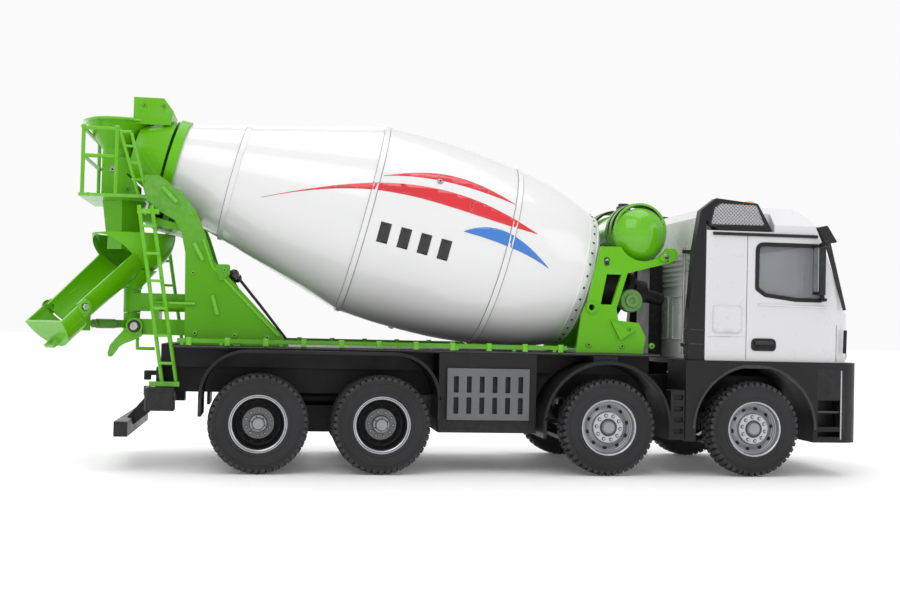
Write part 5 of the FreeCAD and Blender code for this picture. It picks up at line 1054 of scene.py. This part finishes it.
def hopper_details():
    low, high = at("hopper")
    spout_low, spout_high = at("discharge_spout")
    p = Piece()
    rim_frame = shift((low.x + 22, 0, low.z + 23.4)) @ QUARTER_UP
    p.lathe([(-1.0, 21.2), (-1.0, 22.3), (-0.4, 22.8), (0.5, 22.8), (1.0, 22.2), (0.9, 21.0)],
            "green_gloss", rim_frame, 96, closed=True)
    p.make("hopper_rim", "chassis", slot="green_plastic")
    bolts = Piece()
    for side in (-1, 1):
        bolts.bolt((spout_low.x + 6.5, side * 12.9, spout_high.z - 8), (0, side, 0), 1.6, "steel", 1.2)
        bolts.bolt((spout_low.x + 16, side * 12.9, spout_high.z - 20), (0, side, 0), 1.2, "green", 0.8)
        inlet = high.x - 12
        bolts.bolt((inlet - 6, side * 16.9, high.z - 5), (0, side, 0), 1.1, "green", 0.8)
        bolts.bolt((inlet + 6, side * 16.9, high.z - 5), (0, side, 0), 1.1, "green", 0.8)
    bolts.make("hopper_bolts", "chassis", slot="silver_plastic")


def scoop_details():
    place, axis = joint("scoop_fold")
    p = Piece()
    for side in (-1, 1):
        m = shift(place + axis * side * 19.2) @ along_y(axis * side)
        p.lathe([(-0.2, 4.2), (0.8, 4.2), (1.2, 3.8), (1.2, 2.4)], "green", m, 32)
        p.lathe([(0.9, 2.2), (2.0, 2.2), (2.3, 1.8), (2.3, 1.2), (2.0, 1.1), (2.0, 0.001)], "steel", m, 6)
    p.make("scoop_hinge_bolts", "end_scoop", slot="green_plastic")


def lever_details():
    place = joint("lever_swing")[0]
    p = Piece()
    m = shift((place.x, at("hook_lever")[0].y, place.z)) @ Matrix.Rotation(math.pi, 4, "Z")
    p.lathe([(-0.3, 4.0), (0.4, 4.0), (0.7, 3.6), (0.7, 2.9)], "black_gloss", m, 40)
    p.lathe([(0.2, 2.7), (1.3, 2.6), (1.6, 2.2), (1.6, 1.3), (0.8, 1.2), (0.8, 0.001)], "steel", m, 32)
    p.make("lever_bolt", "lever", slot="silver_plastic")


def lamp_details():
    low, high = at("tail_lights")
    p = Piece()
    for side in (-1, 1):
        outline = rounded_box((side * 41.5, side * 56), (low.z - 2, high.z + 2), 1.5)
        m = shift((low.x + 1.3, 0, 0)) @ QUARTER_LEFT
        ring(p, outline, 1.4, -0.2, 1.2, "black_gloss", m)
    p.make("tail_lamp_rims", "chassis", slot="black_plastic")


tank_details()
pedestal_details()
frame_details()
rail_details()
platform_details()
hopper_details()
scoop_details()
lever_details()
lamp_details()


# ---------------------------------------------------------------- stage, light, camera

def area_light(name, place, aim, size, power):
    data = bpy.data.lights.new(name, "AREA")
    data.shape = "RECTANGLE"
    data.size, data.size_y = size
    data.energy = power
    obj = linked(name, data)
    obj.location = place
    obj.rotation_mode = "QUATERNION"
    obj.rotation_quaternion = (Vector(aim) - Vector(place)).to_track_quat("-Z", "Y")


area_light("key_light", (-0.7, -1.3, 1.5), (0, 0, 0.1), (1.2, 1.2), 9)
area_light("top_light", (0.1, 0.1, 1.7), (0, 0, 0.1), (1.8, 1.2), 12)
area_light("side_light", (1.5, -0.8, 0.7), (0.05, 0, 0.1), (0.9, 0.9), 3)
area_light("back_light", (-0.6, 1.4, 0.9), (0, 0, 0.1), (1.6, 0.8), 5)

floor_mesh = bpy.data.meshes.new("studio_floor")
floor_mesh.from_pydata([(-6, -6, 0), (6, -6, 0), (6, 6, 0), (-6, 6, 0)], [], [(0, 1, 2, 3)])
studio_floor = linked("studio_floor", floor_mesh)
studio_floor.location.z = -0.0002
paper = moulded("studio_white", (0.96, 0.96, 0.96), 0.6, 400, 0.02, 0.005)
nodes, links = paper.node_tree.nodes, paper.node_tree.links
# Painted light: the floor glows, weakly near the truck and more strongly further away, its emission rising from
# 0.06 to 0.3 with distance from the origin.
spot = add_node(paper.node_tree, "TexCoord")
distance = add_node(paper.node_tree, "VectorMath")
distance.operation = "LENGTH"
floor_glow = add_node(paper.node_tree, "MapRange", From_Min=0.5, From_Max=1.8, To_Min=0.06, To_Max=0.3)
links.new(spot.outputs["Object"], distance.inputs[0])
links.new(distance.outputs["Value"], floor_glow.inputs["Value"])
links.new(floor_glow.outputs["Result"], nodes["Principled BSDF"].inputs["Emission Strength"])
nodes["Principled BSDF"].inputs["Emission Color"].default_value = (1, 1, 1, 1)
floor_mesh.materials.append(paper)

world = bpy.data.worlds.new("studio")
bpy.context.scene.world = world
world.use_nodes = True
sky = world.node_tree
sky.nodes["Background"].inputs["Strength"].default_value = 0.8
direction = add_node(sky, "TexCoord")
parts = add_node(sky, "SeparateXYZ")
sky.links.new(direction.outputs["Generated"], parts.inputs["Vector"])
shade = ramp(sky, parts.outputs["Z"], (0.27, (1.2, 1.2, 1.2)), (0.6, (0.84, 0.84, 0.85)))
sky.links.new(shade, sky.nodes["Background"].inputs["Color"])
bpy.context.scene.view_settings.view_transform = "Standard"

CAMERA_PLACE = (-0.1148, -0.796, 0.0913)
CAMERA_LENS = 48.16
camera_data = bpy.data.cameras.new("camera")
camera_data.sensor_width = 36
camera_data.lens = CAMERA_LENS
camera_data.clip_end = 30
camera = linked("camera", camera_data)
yaw, pitch, roll = math.radians(8.47), math.radians(-1.21), math.radians(1.32)
forward = Vector((math.sin(yaw) * math.cos(pitch), math.cos(yaw) * math.cos(pitch), -math.sin(pitch)))
right = Vector((math.cos(yaw), -math.sin(yaw), 0))
up = right.cross(forward)
tilted_right = right * math.cos(roll) + up * math.sin(roll)
tilted_up = up * math.cos(roll) - right * math.sin(roll)
turn = Matrix((tilted_right, tilted_up, -forward)).transposed().to_4x4()
camera.matrix_world = shift(CAMERA_PLACE) @ turn
bpy.context.scene.camera = camera
